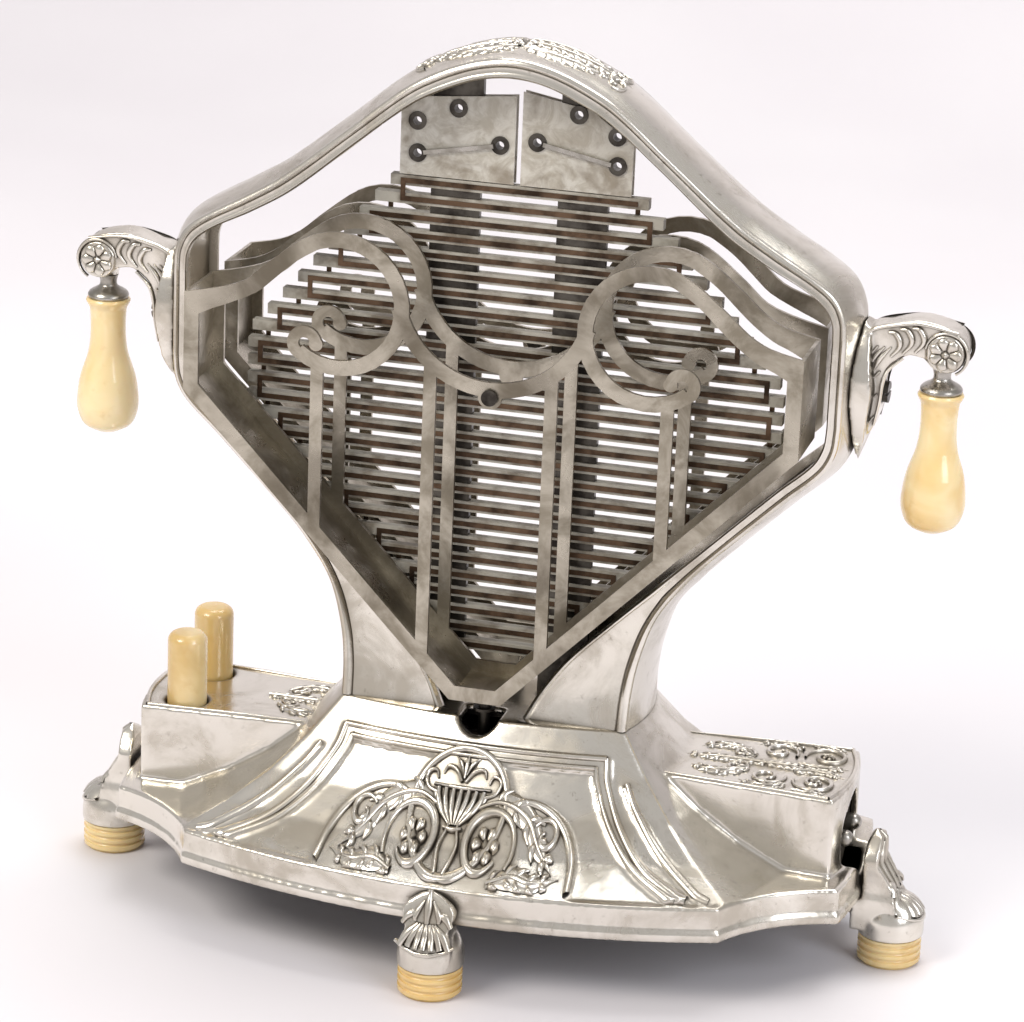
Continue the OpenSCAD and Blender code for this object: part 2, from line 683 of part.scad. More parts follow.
module heater_posts() {
    w = post_w / 2;
    color(dark_steel) difference() {
        for (s = [-1, 1]) along_y(-post_t / 2, post_t / 2) polygon(concat(
            [[s * post_x - w, ped_top], [s * post_x + w, ped_top]],
            [for (k = [1, 0.5, 0, -0.5, -1])
                let (x = s * post_x + k * w) [x, lookup(x, arch_under) - 2 * seat_gap]]));
        for (e = eyelets) if (abs(abs(e.x) - post_x) < w)
            rod_y(-post_t, post_t, e.x, e.y, eyelet_r + press_gap);
    }
}

module heater_slats() {
    color("gainsboro") for (k = [0 : slat_count - 1]) let (z = slat_z(k), e = slat_end(z)) difference() {
        box(-e, e, -slat_t / 2, slat_t / 2, z, z + slat_h);
        for (s = [-1, 1]) box(s * post_x - post_w / 2, s * post_x + post_w / 2,
            -post_t / 2, post_t / 2, z - 1, z + slat_h + 1);
    }
}

module heater_ribbon() {
    color("sienna") translate([0, -slat_t / 2 - ribbon_t, 0]) for (k = [0 : slat_count - 1]) {
        z = slat_z(k) + slat_h / 2;
        s = k % 2 == 0 ? 1 : -1;
        x0 = -s * turn_at(max(k - 1, 0));
        x1 = s * turn_at(k);
        box(min(x0, x1), max(x0, x1), 0, ribbon_t, z - ribbon_w / 2, z + ribbon_w / 2);
        if (k < slat_count - 1) box(min(x1, x1 - s * ribbon_w), max(x1, x1 - s * ribbon_w),
            0, ribbon_t, z, z + slat_pitch);
    }
}

module heater_ribbon_front() { heater_ribbon(); }
module heater_ribbon_rear() { rotate([0, 0, 180]) heater_ribbon(); }

module mica_cards() {
    color("tan") along_y(-post_t / 2 - mica_t, -post_t / 2) difference() {
        union() {
            polygon([[-34.5, mica_low], [-1.6, mica_low], [-1.6, mica_top + 0.5],
                [-33.3, mica_top - 2.5], [-34.5, mica_top - 3.7]]);
            polygon([[0.3, mica_low], [32, mica_low], [32, mica_top - 10],
                [20, mica_top - 1.5], [0.3, mica_top + 2]]);
        }
        for (e = eyelets) translate(e) circle(r = eyelet_r + press_gap);
    }
}

module heater_mica_front() { mica_cards(); }
module heater_mica_rear() { mirror([0, 1, 0]) mica_cards(); }

module heater_eyelets() {
    card = post_t / 2 + mica_t;
    color("gray") for (e = eyelets) translate([e.x, 0, e.y]) rotate([90, 0, 0]) difference() {
        union() {
            cylinder(h = 2 * card, r = eyelet_r, center = true);
            for (s = [-1, 1]) translate([0, 0, s * (card + 0.2)])
                cylinder(h = 0.4, r = 2.6, center = true);
        }
        cylinder(h = 10, r = 1.2, center = true);
    }
}

module heater_links() {
    y = -post_t / 2 - mica_t - 0.4;
    color("gray") for (pair = [[2, 3], [4, 7]]) {
        p = eyelets[pair[0]];
        q = eyelets[pair[1]];
        d = (q - p) / norm(q - p) * eyelet_r;
        along_y(y - 0.5, y) strip(p + d, q - d, 1.2);
    }
}

// The inlet: a deep insulating cup behind the right wing's end wall, with two round pins
cup_r = inlet_r + 1.5;
cup_front = wing_end - wing_end_r + sqrt(pow(wing_end_r - wall, 2) - cup_r * cup_r) - seat_gap;
cup_floor = cup_front - 9;

module inlet_block() {
    color("linen") difference() {
        rod_x(cup_floor - 4, cup_front, 0, inlet_z, cup_r);
        rod_x(cup_floor, cup_front + 1, 0, inlet_z, inlet_r - 0.2);
        for (s = [-1, 1]) rod_x(cup_floor - 5, cup_floor + 1, s * inlet_pitch / 2, inlet_z,
            inlet_pin_d / 2 + press_gap);
    }
}

module inlet_pins() {
    color("silver") for (s = [-1, 1]) {
        rod_x(cup_floor - 7, wing_end - 1, s * inlet_pitch / 2, inlet_z, inlet_pin_d / 2);
        translate([wing_end - 1, s * inlet_pitch / 2, inlet_z]) sphere(d = inlet_pin_d);
    }
}

// The tilting mechanism under each basket, drawn for the front side
pin_r = pin_d / 2;
ear_in = 9;
ear_out = 11;
tail = [-4, pivot_z - 4];
tail_x = 5;
collar_z = ped_top + 0.4;

module pivot_bracket() {
    color(dark_steel) {
        difference() {
            for (s = [0, 1]) mirror([s, 0, 0]) along_x(ear_in, ear_out) union() {
                translate([-pivot_y, pivot_z]) circle(r = 3.4);
                translate([-pivot_y - 3.4, pivot_z]) square([7.4, ped_under - pivot_z]);
            }
            rod_x(-ear_out - 1, ear_out + 1, -pivot_y, pivot_z, pin_r + press_gap);
        }
        box(-ear_out, ear_out, -pivot_y + 4, -pivot_y + 9, ped_under - 1.4, ped_under);
    }
}

module pivot_pin() { color("silver") rod_x(-ear_out, ear_out, -pivot_y, pivot_z, pin_r); }

module carrier() {
    color(dark_steel) difference() {
        union() {
            rod_x(0.2 - ear_in, ear_in - 0.2, -pivot_y, pivot_z, 3.4);
            translate([0, -pivot_y, pivot_z]) cylinder(h = basket_bottom - pivot_z, d = spindle_d);
            translate([0, -pivot_y, collar_z]) cylinder(h = 0.8, r = 3.2);
            along_x(ear_in - 2, ear_in - 0.2) union() {
                strip([-pivot_y, pivot_z], tail, 4.4);
                translate(tail) circle(r = 2.4);
            }
            rod_x(tail_x - 1.5, ear_in - 0.2, tail.x, tail.y, pin_r);
        }
        rod_x(-ear_out, ear_out, -pivot_y, pivot_z, pin_r + run_gap);
    }
}

// A round wire wound on a cylinder, from z0 to z1
function coil_path(c, r, z0, z1, turns) = [for (i = [0 : 8 * turns])
    let (a = 45 * i) [c.x + r * cos(a), c.y + r * sin(a), z0 + (z1 - z0) * i / (8 * turns)]];
function coil_ring(c, p, r, lead, wire) =
    let (u = [p.x - c.x, p.y - c.y, 0] / r, t = [-u.y * r, u.x * r, lead], b = cross(u, t / norm(t)))
    [for (k = [0 : 5]) p + wire * (cos(60 * k) * u + sin(60 * k) * b)];
function least_gap(path, wire) =
    min([for (i = [0 : len(path) - 6], j = [i + 5 : len(path) - 1]) norm(path[i] - path[j])]) - 2 * wire;

module coil(c, r, z0, z1, turns, wire) {
    path = coil_path(c, r, z0 + wire, z1 - wire, turns);
    lead = (z1 - z0 - 2 * wire) / (2 * PI * turns);
    polyhedron([for (p = path) each coil_ring(c, p, r, lead, wire)], ring_faces(len(path), 6, fan(6)));
    echo("least gap between turns", least_gap(path, wire));
}

module spindle_spring() {
    color("gray") coil([0, -pivot_y], spindle_d / 2 + 0.9, collar_z + 0.8 + seat_gap,
        basket_bottom - seat_gap, 3, 0.45);
}

module pivot_bracket_front() { pivot_bracket(); }
module pivot_bracket_rear() { mirror([0, 1, 0]) pivot_bracket(); }
module pivot_pin_front() { pivot_pin(); }
module pivot_pin_rear() { mirror([0, 1, 0]) pivot_pin(); }
module carrier_front() { carrier(); }
module carrier_rear() { mirror([0, 1, 0]) carrier(); }
module spindle_spring_front() { spindle_spring(); }
module spindle_spring_rear() { mirror([0, 1, 0]) spindle_spring(); }

// Levers, with a cranked arm from each plunger to the tail of its basket's carrier
guide_z = 38.6;
guide_t = 1.2;
stem_r = 2;
stem_low = guide_z - 2.4;
cap_low = wing_under - 0.5;
pad_top = stem_low - lift_gap;
arm_w = 4;
arm_y = button_y + arm_w / 2;
roller_r = 1.8;
roller_z = tail.y - pin_r - lift_gap - roller_r;
crank_x = lever_x - 6;

module lever_bracket() {
    top = ped_under;
    color(dark_steel) {
        difference() {
            for (s = [0, 1]) mirror([0, s, 0]) along_y(arm_y + 1.5, arm_y + 3.3)
                translate([-lever_x, 0]) union() {
                    translate([0, lever_z]) circle(r = 2.5);
                    translate([-2.5, lever_z]) square([5, top - lever_z]);
                }
            rod_y(-arm_y - 4, arm_y + 4, -lever_x, lever_z, pin_r + press_gap);
        }
        box(-lever_x - 2.5, -lever_x + 2.5, -arm_y - 3.3, arm_y + 3.3, top - 1.4, top);
    }
}

module lever_pin() { color("silver") rod_y(-arm_y - 3.3, arm_y + 3.3, -lever_x, lever_z, pin_r); }

module lever() {
    inner = -tail.x - arm_w / 2;
    color(dark_steel) difference() {
        union() {
            along_y(-arm_y, arm_w - arm_y) polygon([[-button_x - 5, pad_top - 2.4],
                [-button_x - 5, pad_top], [-button_x + 25, pad_top], [-lever_x - 4, lever_z + 3.4],
                [-crank_x + 2.5, lever_z + 2.4], [-crank_x + 2.5, lever_z - 2.4],
                [-lever_x - 5, lever_z - 3.4], [-button_x + 27, pad_top - 3]]);
            rod_y(-arm_y - 1.3, arm_w - arm_y, -lever_x, lever_z, 4.4);
            box(-crank_x - 2.5, -crank_x + 2.5, -arm_y, -inner, lever_z - 2.4, lever_z + 2.4);
            along_y(-inner - arm_w, -inner) union() {
                strip([-crank_x, lever_z], [tail_x, roller_z], 3.2);
                translate([tail_x, roller_z]) circle(r = roller_r);
            }
        }
        rod_y(-arm_y - 2, arm_w - arm_y + 1, -lever_x, lever_z, pin_r + run_gap);
    }
}

module button_guide() {
    x0 = -button_x - 9;
    x1 = -button_x + 8.8;
    color(dark_steel) difference() {
        union() {
            box(x0, x1, -17, 17, guide_z, guide_z + guide_t);
            box(x0, x0 + guide_t, -17, 17, guide_z, wing_under);
            box(x1 - guide_t, x1, -17, 17, guide_z, wing_under);
        }
        for (s = [-1, 1]) translate([-button_x, s * button_y, guide_z - 1])
            cylinder(h = guide_t + 2, r = stem_r + run_gap);
    }
}

module button_cap() {
    r = button_d / 2;
    top = wing_top + button_rise;
    color(ivory) translate([-button_x, -button_y, 0]) rotate_extrude() polygon(concat(
        [[0, cap_low], [r - 0.5, cap_low], [r, cap_low + 0.5]],
        arc_points([r - 2.6, top - 2.8], 2.6, 0, 80, 6), [[0, top]]));
}

module plunger() {
    color(dark_steel) translate([-button_x, -button_y, 0]) {
        translate([0, 0, stem_low + stem_r]) cylinder(h = cap_low - stem_low - stem_r, r = stem_r);
        translate([0, 0, stem_low + stem_r]) sphere(r = stem_r);
    }
}

module button_spring() {
    color("gray") coil([-button_x, -button_y], stem_r + 1.3, guide_z + guide_t + seat_gap,
        cap_low - seat_gap, 4, 0.4);
}

module lever_front() { lever(); }
module lever_rear() { mirror([0, 1, 0]) lever(); }
module button_cap_front() { button_cap(); }
module button_cap_rear() { mirror([0, 1, 0]) button_cap(); }
module plunger_front() { plunger(); }
module plunger_rear() { mirror([0, 1, 0]) plunger(); }
module button_spring_front() { button_spring(); }
module button_spring_rear() { mirror([0, 1, 0]) button_spring(); }

// Baskets: a tray between an outer and an inner grille of bars and scrolls
hook_r = 5;
hook_in = 1.7;
hook_angle = -52;
cup_c = [pattern_shift, scroll_z + 8.4];
cup_in = 25.8;
cup_start = 16;
rivet_at = [pattern_shift, scroll_z - 21.6];
scroll_in = scroll_r - strip_w;

module basket_outline(inset) {
    drop = inset * (sqrt(1 + v_slope * v_slope) - v_slope);
    polygon(both_halves([[0, basket_bottom + inset], [bottom_half - drop * 0.9, basket_bottom + inset],
        [basket_half - inset, basket_low + drop],
        [basket_half - inset, basket_high + (inset > 0 ? 5 : 0)],
        [0, basket_high + (inset > 0 ? 5 : 0)]]));
}

// The right scroll, with a strip that sweeps from its top to the basket's corner
module scroll(shift) {
    c = [shift + scroll_x, scroll_z];
    p = [basket_half, basket_high];
    outer = curve([c + scroll_r * [cos(68), sin(68)], c + scroll_r * [cos(52), sin(52)],
        c + [21.5, 9], c + [27.3, 4], p + [-9.5, 2.2], p], 3);
    inner = curve([c + scroll_in * [cos(68), sin(68)], c + scroll_in * [cos(48), sin(48)],
        c + [14.6, 9.1], c + [19, 5], c + [23.8, 0.8], p + [-12.9, -2], p + [-8.2, -4],
        p - [strip_w, 6]], 3);
    hook = c + (scroll_r - hook_r) * [cos(hook_angle), sin(hook_angle)];
    polygon(concat(inner, reverse(outer)));
    translate(c) ring_arc([0, 0], scroll_r, scroll_in, 60, 360 + hook_angle);
    ring_arc(hook, hook_r, hook_in, hook_angle - 2, hook_angle + 230);
    translate(hook + (hook_r + hook_in) / 2 * [cos(hook_angle + 230), sin(hook_angle + 230)])
        circle(r = 2);
}

module grille() {
    difference() {
        basket_outline(0);
        basket_outline(strip_w);
    }
    scroll(pattern_shift);
    mirror([1, 0]) scroll(-pattern_shift);
    ring_arc(cup_c, cup_in + strip_w, cup_in, 180 + cup_start, 360 - cup_start);
    for (x = [-bar_out, -bar_in, bar_in, bar_out]) {
        foot_z = basket_bottom + (abs(x + pattern_shift) - bottom_half) * v_slope;
        reach = abs(x) == bar_in ? cup_c.y - sqrt(pow(cup_in + 1, 2) - x * x)
            : scroll_z - sqrt(pow(scroll_r - 1, 2) - pow(bar_out - scroll_x, 2));
        translate([x + pattern_shift - bar_w / 2, foot_z + 2]) square([bar_w, reach - foot_z - 2]);
    }
    translate(rivet_at) circle(r = 3.4);
}

module grille_outer() {
    color(nickel) difference() {
        along_y(-basket_outer, grille_t - basket_outer) grille();
        rod_y(-basket_outer - 1, 2 * grille_t - basket_outer, rivet_at.x, rivet_at.y, 1.2 + press_gap);
    }
}

module grille_inner() { color(nickel) along_y(-basket_inner - grille_t, -basket_inner) grille(); }

module tray() {
    color("gray") along_y(grille_t - basket_outer, -basket_inner - grille_t) difference() {
        basket_outline(0);
        basket_outline(tray_t);
    }
}

module grille_rivet() {
    color(dark_steel) {
        rod_y(-basket_outer - 0.9, -basket_outer, rivet_at.x, rivet_at.y, 2.3);
        rod_y(-basket_outer, grille_t - basket_outer, rivet_at.x, rivet_at.y, 1.2);
        rod_y(grille_t - basket_outer, grille_t - basket_outer + 0.6, rivet_at.x, rivet_at.y, 2);
    }
}

module grille_outer_front() { grille_outer(); }
module grille_outer_rear() { rotate([0, 0, 180]) grille_outer(); }
module grille_inner_front() { grille_inner(); }
module grille_inner_rear() { rotate([0, 0, 180]) grille_inner(); }
module grille_rivet_front() { grille_rivet(); }
module grille_rivet_rear() { rotate([0, 0, 180]) grille_rivet(); }
module tray_front() { tray(); }
module tray_rear() { rotate([0, 0, 180]) tray(); }

base_shell();
bottom_plate();
bottom_screws();
toe_front();
toe_rear();
toe_left();
toe_right();
foot_front();
foot_rear();
foot_left();
foot_right();
foot_screws();
frame_shell();
handle_bracket_left();
handle_bracket_right();
handle_screws();
handle_neck_left();
handle_neck_right();
handle_grip_left();
handle_grip_right();
heater_posts();
heater_slats();
heater_ribbon_front();
heater_ribbon_rear();
heater_mica_front();
heater_mica_rear();
heater_eyelets();
heater_links();
inlet_block();
inlet_pins();
pivot_bracket_front();
pivot_bracket_rear();
pivot_pin_front();
pivot_pin_rear();
lever_bracket();
lever_pin();
button_guide();
button_spring_front();
button_spring_rear();
button_cap_front();
button_cap_rear();
plunger_front();
plunger_rear();
lever_front();
lever_rear();
carrier_front();
carrier_rear();
spindle_spring_front();
spindle_spring_rear();
tray_front();
tray_rear();
grille_outer_front();
grille_outer_rear();
grille_inner_front();
grille_inner_rear();
grille_rivet_front();
grille_rivet_rear();
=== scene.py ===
# Drop side toaster: finishes, ornament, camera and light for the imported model
from math import cos, pi, radians, sin, sqrt

import bmesh
import bpy
from mathutils import Matrix, Vector


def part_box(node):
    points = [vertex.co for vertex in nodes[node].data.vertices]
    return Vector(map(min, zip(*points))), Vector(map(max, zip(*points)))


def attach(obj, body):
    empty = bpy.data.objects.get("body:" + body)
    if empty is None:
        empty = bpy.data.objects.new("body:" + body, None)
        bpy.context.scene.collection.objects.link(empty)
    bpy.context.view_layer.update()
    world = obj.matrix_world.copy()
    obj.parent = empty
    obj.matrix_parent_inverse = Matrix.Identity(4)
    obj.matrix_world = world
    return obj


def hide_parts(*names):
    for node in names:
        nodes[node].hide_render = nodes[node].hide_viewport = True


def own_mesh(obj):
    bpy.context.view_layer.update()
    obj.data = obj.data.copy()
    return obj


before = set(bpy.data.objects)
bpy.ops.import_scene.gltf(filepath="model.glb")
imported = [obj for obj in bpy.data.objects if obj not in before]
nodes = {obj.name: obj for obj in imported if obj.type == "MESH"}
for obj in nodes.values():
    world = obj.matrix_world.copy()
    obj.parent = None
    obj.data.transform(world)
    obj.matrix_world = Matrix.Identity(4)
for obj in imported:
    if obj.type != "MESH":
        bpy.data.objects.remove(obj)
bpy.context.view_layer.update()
MM = 0.001

# Sizes of the CAD model that the ornament and the frame follow, in millimetres
SKIRT_TOP = 31.0
CORNER_X = 78.0  # the skirt's corners
PED_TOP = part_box("frame_shell")[0].z / MM
PED_END = 45.0  # half the width of the pedestal's top
WING_TOP = 54.5
RELIEF = 1.2  # height of the raised medallion
BOW_AXIS = 167.5  # how far behind the middle the front panel's centre of curvature lies
FLARE_LOW = 230.0  # the front panel's radius at the skirt
FLARE_HIGH = 191.0  # and at the pedestal's top
FLARE_BEND = 85.0  # radius of the panel's upright hollow
FOOT_H = 8.5
FOOT_X = 118.3
FOOT_Y = 64.9
TOE_EDGE = 3.5  # height of a toe's upright edge
TOE_R = 9.5
BRACKET_T = 10.0
GRIP_TOP = 170.6
ROSETTE = (122.4, 183.0)
FRAME_HALF = 96.0
FRAME_DEPTH = 14.0
FRAME_FOOT_DEPTH = 19.0
FRAME_SWEEP = 49.0  # height over which the frame's feet flare
ARCH_TOP = 254.2
CROWN = 3.4  # how far the middle of the frame's band bulges
CROWN_TOP_CUT = 1.3  # how much less it bulges under the leaves on the arch
CROWN_TOP_REACH = 46.0
WEB = 2.0
FRAME_STEPS = 7
SPRING_WIRE = 0.4  # radius of the button springs' wire
SPRING_TURNS = 4
COIL_STEPS = 20  # steps in a turn of the coil
COIL_SIDES = 8


# Colour and node helpers
def srgb(code):
    """A linear colour from an sRGB hex code."""
    parts = [int(code[i:i + 2], 16) / 255 for i in (1, 3, 5)]
    return [c / 12.92 if c <= 0.04045 else ((c + 0.055) / 1.055) ** 2.4 for c in parts] + [1.0]


def add_node(tree, kind, settings=None, **inputs):
    """A new node with its settings, and its inputs set to values or linked to sockets."""
    node = tree.nodes.new(kind)
    for key, value in (settings or {}).items():
        setattr(node, key, value)
    for key, value in inputs.items():
        name = int(key[1:]) if key[1:].isdigit() else key.replace("_", " ")
        socket = node.inputs[name]
        if isinstance(value, bpy.types.NodeSocket):
            tree.links.new(value, socket)
        else:
            socket.default_value = value
    return node


def new_material(name):
    """An empty material, its tree and its coordinates in metres on the object."""
    mat = bpy.data.materials.new(name)
    mat.use_nodes = True
    tree = mat.node_tree
    tree.nodes.clear()
    place = add_node(tree, "ShaderNodeTexCoord").outputs["Object"]
    return mat, tree, place


def finish_shader(tree, **inputs):
    """The Principled shader of a material and its output."""
    shader = add_node(tree, "ShaderNodeBsdfPrincipled", **inputs)
    add_node(tree, "ShaderNodeOutputMaterial", Surface=shader.outputs[0])


def noise_of(tree, place, size_mm, detail=3.0, rough=0.55, distort=0.0):
    """A noise whose features are about size_mm across."""
    return add_node(tree, "ShaderNodeTexNoise", Vector=place, Scale=1 / (size_mm * MM),
                    Detail=detail, Roughness=rough, Distortion=distort).outputs[0]


def ramp_of(tree, factor, low, high):
    """A smooth step that goes from 0 at low to 1 at high."""
    return add_node(tree, "ShaderNodeMapRange", {"interpolation_type": "SMOOTHSTEP"},
                    Value=factor, From_Min=low, From_Max=high).outputs[0]


def mix_of(tree, factor, a, b):
    """A colour mixed from a to b."""
    mix = add_node(tree, "ShaderNodeMix", {"data_type": "RGBA"}, Factor=factor, _6=a, _7=b)
    return mix.outputs[2]


def math_of(tree, operation, a, b=0.0):
    """The result of one math operation."""
    return add_node(tree, "ShaderNodeMath", {"operation": operation}, _0=a, _1=b).outputs[0]


def occlusion_shade_of(tree, reach_mm):
    """An occlusion mask: 1 where the surface is open and less in its hollows, where shade falls;
    used to paint shade.
    """
    return add_node(tree, "ShaderNodeAmbientOcclusion", {"samples": 6},
                    Distance=reach_mm * MM).outputs["AO"]


# Materials
def aged_nickel():
    """Cast metal with old nickel plate: bright, clouded in patches; brown tarnish and painted shade
    darken its hollows.
    """
    mat, tree, place = new_material("aged_nickel_plate")
    cloud = ramp_of(tree, noise_of(tree, place, 26, 5, 0.62, 0.6), 0.42, 0.66)
    speck = ramp_of(tree, noise_of(tree, place, 2.6, 4, 0.7), 0.60, 0.74)
    # occlusion mask: painted shade in the hollows, also taken as tarnish that roughens them
    hollow_shade_and_tarnish = math_of(tree, "SUBTRACT", 1.0, ramp_of(tree, occlusion_shade_of(tree, 3.0), 0.45, 0.95))
    clean = mix_of(tree, cloud, srgb("#e4dfd5"), srgb("#c2bbae"))
    spotted = mix_of(tree, math_of(tree, "MULTIPLY", speck, 0.45), clean, srgb("#80776a"))
    # painted shade and tarnish: the hollows are darkened towards brown #4a4034
    colour = mix_of(tree, math_of(tree, "MULTIPLY", hollow_shade_and_tarnish, 0.85), spotted, srgb("#4a4034"))
    worn = math_of(tree, "ADD", math_of(tree, "MULTIPLY", cloud, 0.14), 0.19)
    rough = math_of(tree, "ADD", worn, math_of(tree, "MULTIPLY", hollow_shade_and_tarnish, 0.25))
    wave = noise_of(tree, place, 14, 2)
    grit = noise_of(tree, place, 0.9, 3)
    height = math_of(tree, "ADD", wave, math_of(tree, "MULTIPLY", grit, 0.05))
    bump = add_node(tree, "ShaderNodeBump", Height=height, Strength=0.22, Distance=0.0009)
    finish_shader(tree, Base_Color=colour, Metallic=1.0, Roughness=rough, Normal=bump.outputs[0])
    return mat


def worn_grille():
    """Steel strip with thin nickel, darkened by heat to brown grey and paler where rubbed."""
    mat, tree, place = new_material("heat_darkened_nickel_strip")
    patch = ramp_of(tree, noise_of(tree, place, 16, 5, 0.65, 0.5), 0.38, 0.66)
    burn = ramp_of(tree, noise_of(tree, place, 34, 3, 0.5), 0.50, 0.68)
    clean = mix_of(tree, patch, srgb("#b9b2a4"), srgb("#8f8778"))
    colour = mix_of(tree, math_of(tree, "MULTIPLY", burn, 0.55), clean, srgb("#5b5347"))
    rough = math_of(tree, "ADD", math_of(tree, "MULTIPLY", patch, 0.18), 0.27)
    bump = add_node(tree, "ShaderNodeBump", Height=noise_of(tree, place, 1.1, 3),
                    Strength=0.15, Distance=0.0004)
    finish_shader(tree, Base_Color=colour, Metallic=1.0, Roughness=rough, Normal=bump.outputs[0])
    return mat


def dark_steel(name, base, stain, rough):
    """Plain rolled steel, blued and stained by heat."""
    mat, tree, place = new_material(name)
    patch = ramp_of(tree, noise_of(tree, place, 9, 4, 0.6), 0.35, 0.70)
    bump = add_node(tree, "ShaderNodeBump", Height=noise_of(tree, place, 0.8, 2),
                    Strength=0.12, Distance=0.0003)
    worn = math_of(tree, "ADD", math_of(tree, "MULTIPLY", patch, 0.15), rough)
    finish_shader(tree, Base_Color=mix_of(tree, patch, srgb(base), srgb(stain)), Metallic=1.0,
                  Roughness=worn, Normal=bump.outputs[0])
    return mat


def ivory_resin(name, pale, warm):
    """Moulded ivory coloured phenolic resin: deep gloss, yellowed unevenly with age."""
    mat, tree, place = new_material(name)
    cloud = ramp_of(tree, noise_of(tree, place, 22, 3, 0.5, 0.8), 0.34, 0.70)
    streak = ramp_of(tree, noise_of(tree, place, 5, 4, 0.6), 0.56, 0.78)
    aged = mix_of(tree, cloud, srgb(pale), srgb(warm))
    colour = mix_of(tree, math_of(tree, "MULTIPLY", streak, 0.3), aged, srgb("#c29a57"))
    finish_shader(tree, Base_Color=colour, Roughness=0.22, IOR=1.6, Subsurface_Weight=0.25,
                  Subsurface_Radius=(0.004, 0.0025, 0.0012), Subsurface_Scale=0.6,
                  Coat_Weight=0.35, Coat_Roughness=0.08)
    return mat


def mica_sheet():
    """Split mica: cloudy flakes that let some light through, stained amber and grey by heat."""
    mat, tree, place = new_material("split_mica_sheet")
    flake = ramp_of(tree, noise_of(tree, place, 7, 5, 0.7, 1.2), 0.35, 0.65)
    stain = ramp_of(tree, noise_of(tree, place, 12, 4, 0.6, 0.4), 0.50, 0.70)
    pale = mix_of(tree, flake, srgb("#d9d4c8"), srgb("#b9b1a1"))
    colour = mix_of(tree, math_of(tree, "MULTIPLY", stain, 0.6), pale, srgb("#7b6a53"))
    bump = add_node(tree, "ShaderNodeBump", Height=flake, Strength=0.2, Distance=0.0003)
    finish_shader(tree, Base_Color=colour, Roughness=0.3, IOR=1.58, Transmission_Weight=0.25,
                  Normal=bump.outputs[0])
    return mat


def pressed_strip():
    """Pressed mica strips: pale grey, dull and a little scorched."""
    mat, tree, place = new_material("pressed_mica_strip")
    scorch = ramp_of(tree, noise_of(tree, place, 11, 4, 0.6), 0.42, 0.68)
    grain = noise_of(tree, place, 0.7, 2)
    bump = add_node(tree, "ShaderNodeBump", Height=grain, Strength=0.25, Distance=0.0003)
    finish_shader(tree, Base_Color=mix_of(tree, scorch, srgb("#a7a296"), srgb("#6f6658")),
                  Roughness=0.55, Normal=bump.outputs[0])
    return mat


def porcelain():
    """Unglazed porcelain, darkened with age: dull, with fine grit."""
    mat, tree, place = new_material("unglazed_porcelain")
    tone = ramp_of(tree, noise_of(tree, place, 6, 3), 0.35, 0.7)
    bump = add_node(tree, "ShaderNodeBump", Height=noise_of(tree, place, 0.5, 2),
                    Strength=0.2, Distance=0.0002)
    finish_shader(tree, Base_Color=mix_of(tree, tone, srgb("#5b5348"), srgb("#3d372f")),
                  Roughness=0.6, Normal=bump.outputs[0])
    return mat


NICKEL = aged_nickel()
GRILLE = worn_grille()
DARK = dark_steel("heat_blued_steel", "#5a5650", "#2f2b28", 0.32)
BRIGHT = dark_steel("turned_steel_pin", "#b5b1aa", "#8a857b", 0.24)
RIBBON = dark_steel("oxidised_resistance_ribbon", "#6f5a49", "#3b3028", 0.45)
IVORY = ivory_resin("ivory_resin_grip", "#efdcae", "#e2c283")
IVORY_CAP = ivory_resin("ivory_resin_button", "#dcc592", "#c9aa6c")
IVORY_FOOT = ivory_resin("ivory_resin_foot", "#e8cf98", "#d3ae68")
MICA = mica_sheet()
STRIP = pressed_strip()
CERAMIC = porcelain()

FINISHES = (
    (NICKEL, ("base_shell", "toe_", "frame_shell", "handle_bracket_")),
    (GRILLE, ("grille_outer_", "grille_inner_", "tray_")),
    (IVORY, ("handle_grip_",)),
    (IVORY_CAP, ("button_cap_",)),
    (IVORY_FOOT, ("foot_front", "foot_rear", "foot_left", "foot_right")),
    (MICA, ("heater_mica_",)),
    (STRIP, ("heater_slats",)),
    (RIBBON, ("heater_ribbon_",)),
    (CERAMIC, ("inlet_block",)),
    (BRIGHT, ("handle_neck_", "inlet_pins", "pivot_pin_", "lever_pin", "spindle_spring_",
              "button_spring_", "heater_links")),
)


def finish_for(name):
    """The material of a node, by the start of its name."""
    for material, starts in FINISHES:
        if name.startswith(starts):
            return material
    return DARK


def soften_edges(node, width_mm):
    """Rounds a node's sharp edges and evens its shading."""
    node.modifiers.new("weld", "WELD").merge_threshold = 1e-6
    bevel = node.modifiers.new("bevel", "BEVEL")
    bevel.width = width_mm * MM
    bevel.segments = 2
    bevel.limit_method = "ANGLE"
    bevel.angle_limit = radians(32)
    node.modifiers.new("normals", "WEIGHTED_NORMAL")


def cast_surface(node, grain_mm, rounds):
    """Gives a node the soft edges and flowing hollows of a casting."""
    node.modifiers.new("weld", "WELD").merge_threshold = 1e-6
    skin = node.modifiers.new("skin", "REMESH")
    skin.mode = "VOXEL"
    skin.voxel_size = grain_mm * MM
    skin.use_smooth_shade = True
    flow = node.modifiers.new("flow", "SMOOTH")
    flow.factor = 0.5
    flow.iterations = rounds


# Cast nodes, by the start of their names, with the grain in millimetres and the smoothing rounds
CAST = (("base_shell", 0.6, 8), ("handle_bracket_", 0.4, 8), ("toe_", 0.4, 12))
GRILLE_BEVEL = 0.25

for name, node in nodes.items():
    node.data.materials.clear()
    node.data.materials.append(finish_for(name))
    for start, grain, rounds in CAST:
        if name.startswith(start):
            cast_surface(node, grain, rounds)
    if name.startswith("grille_") and "rivet" not in name:
        soften_edges(node, GRILLE_BEVEL)


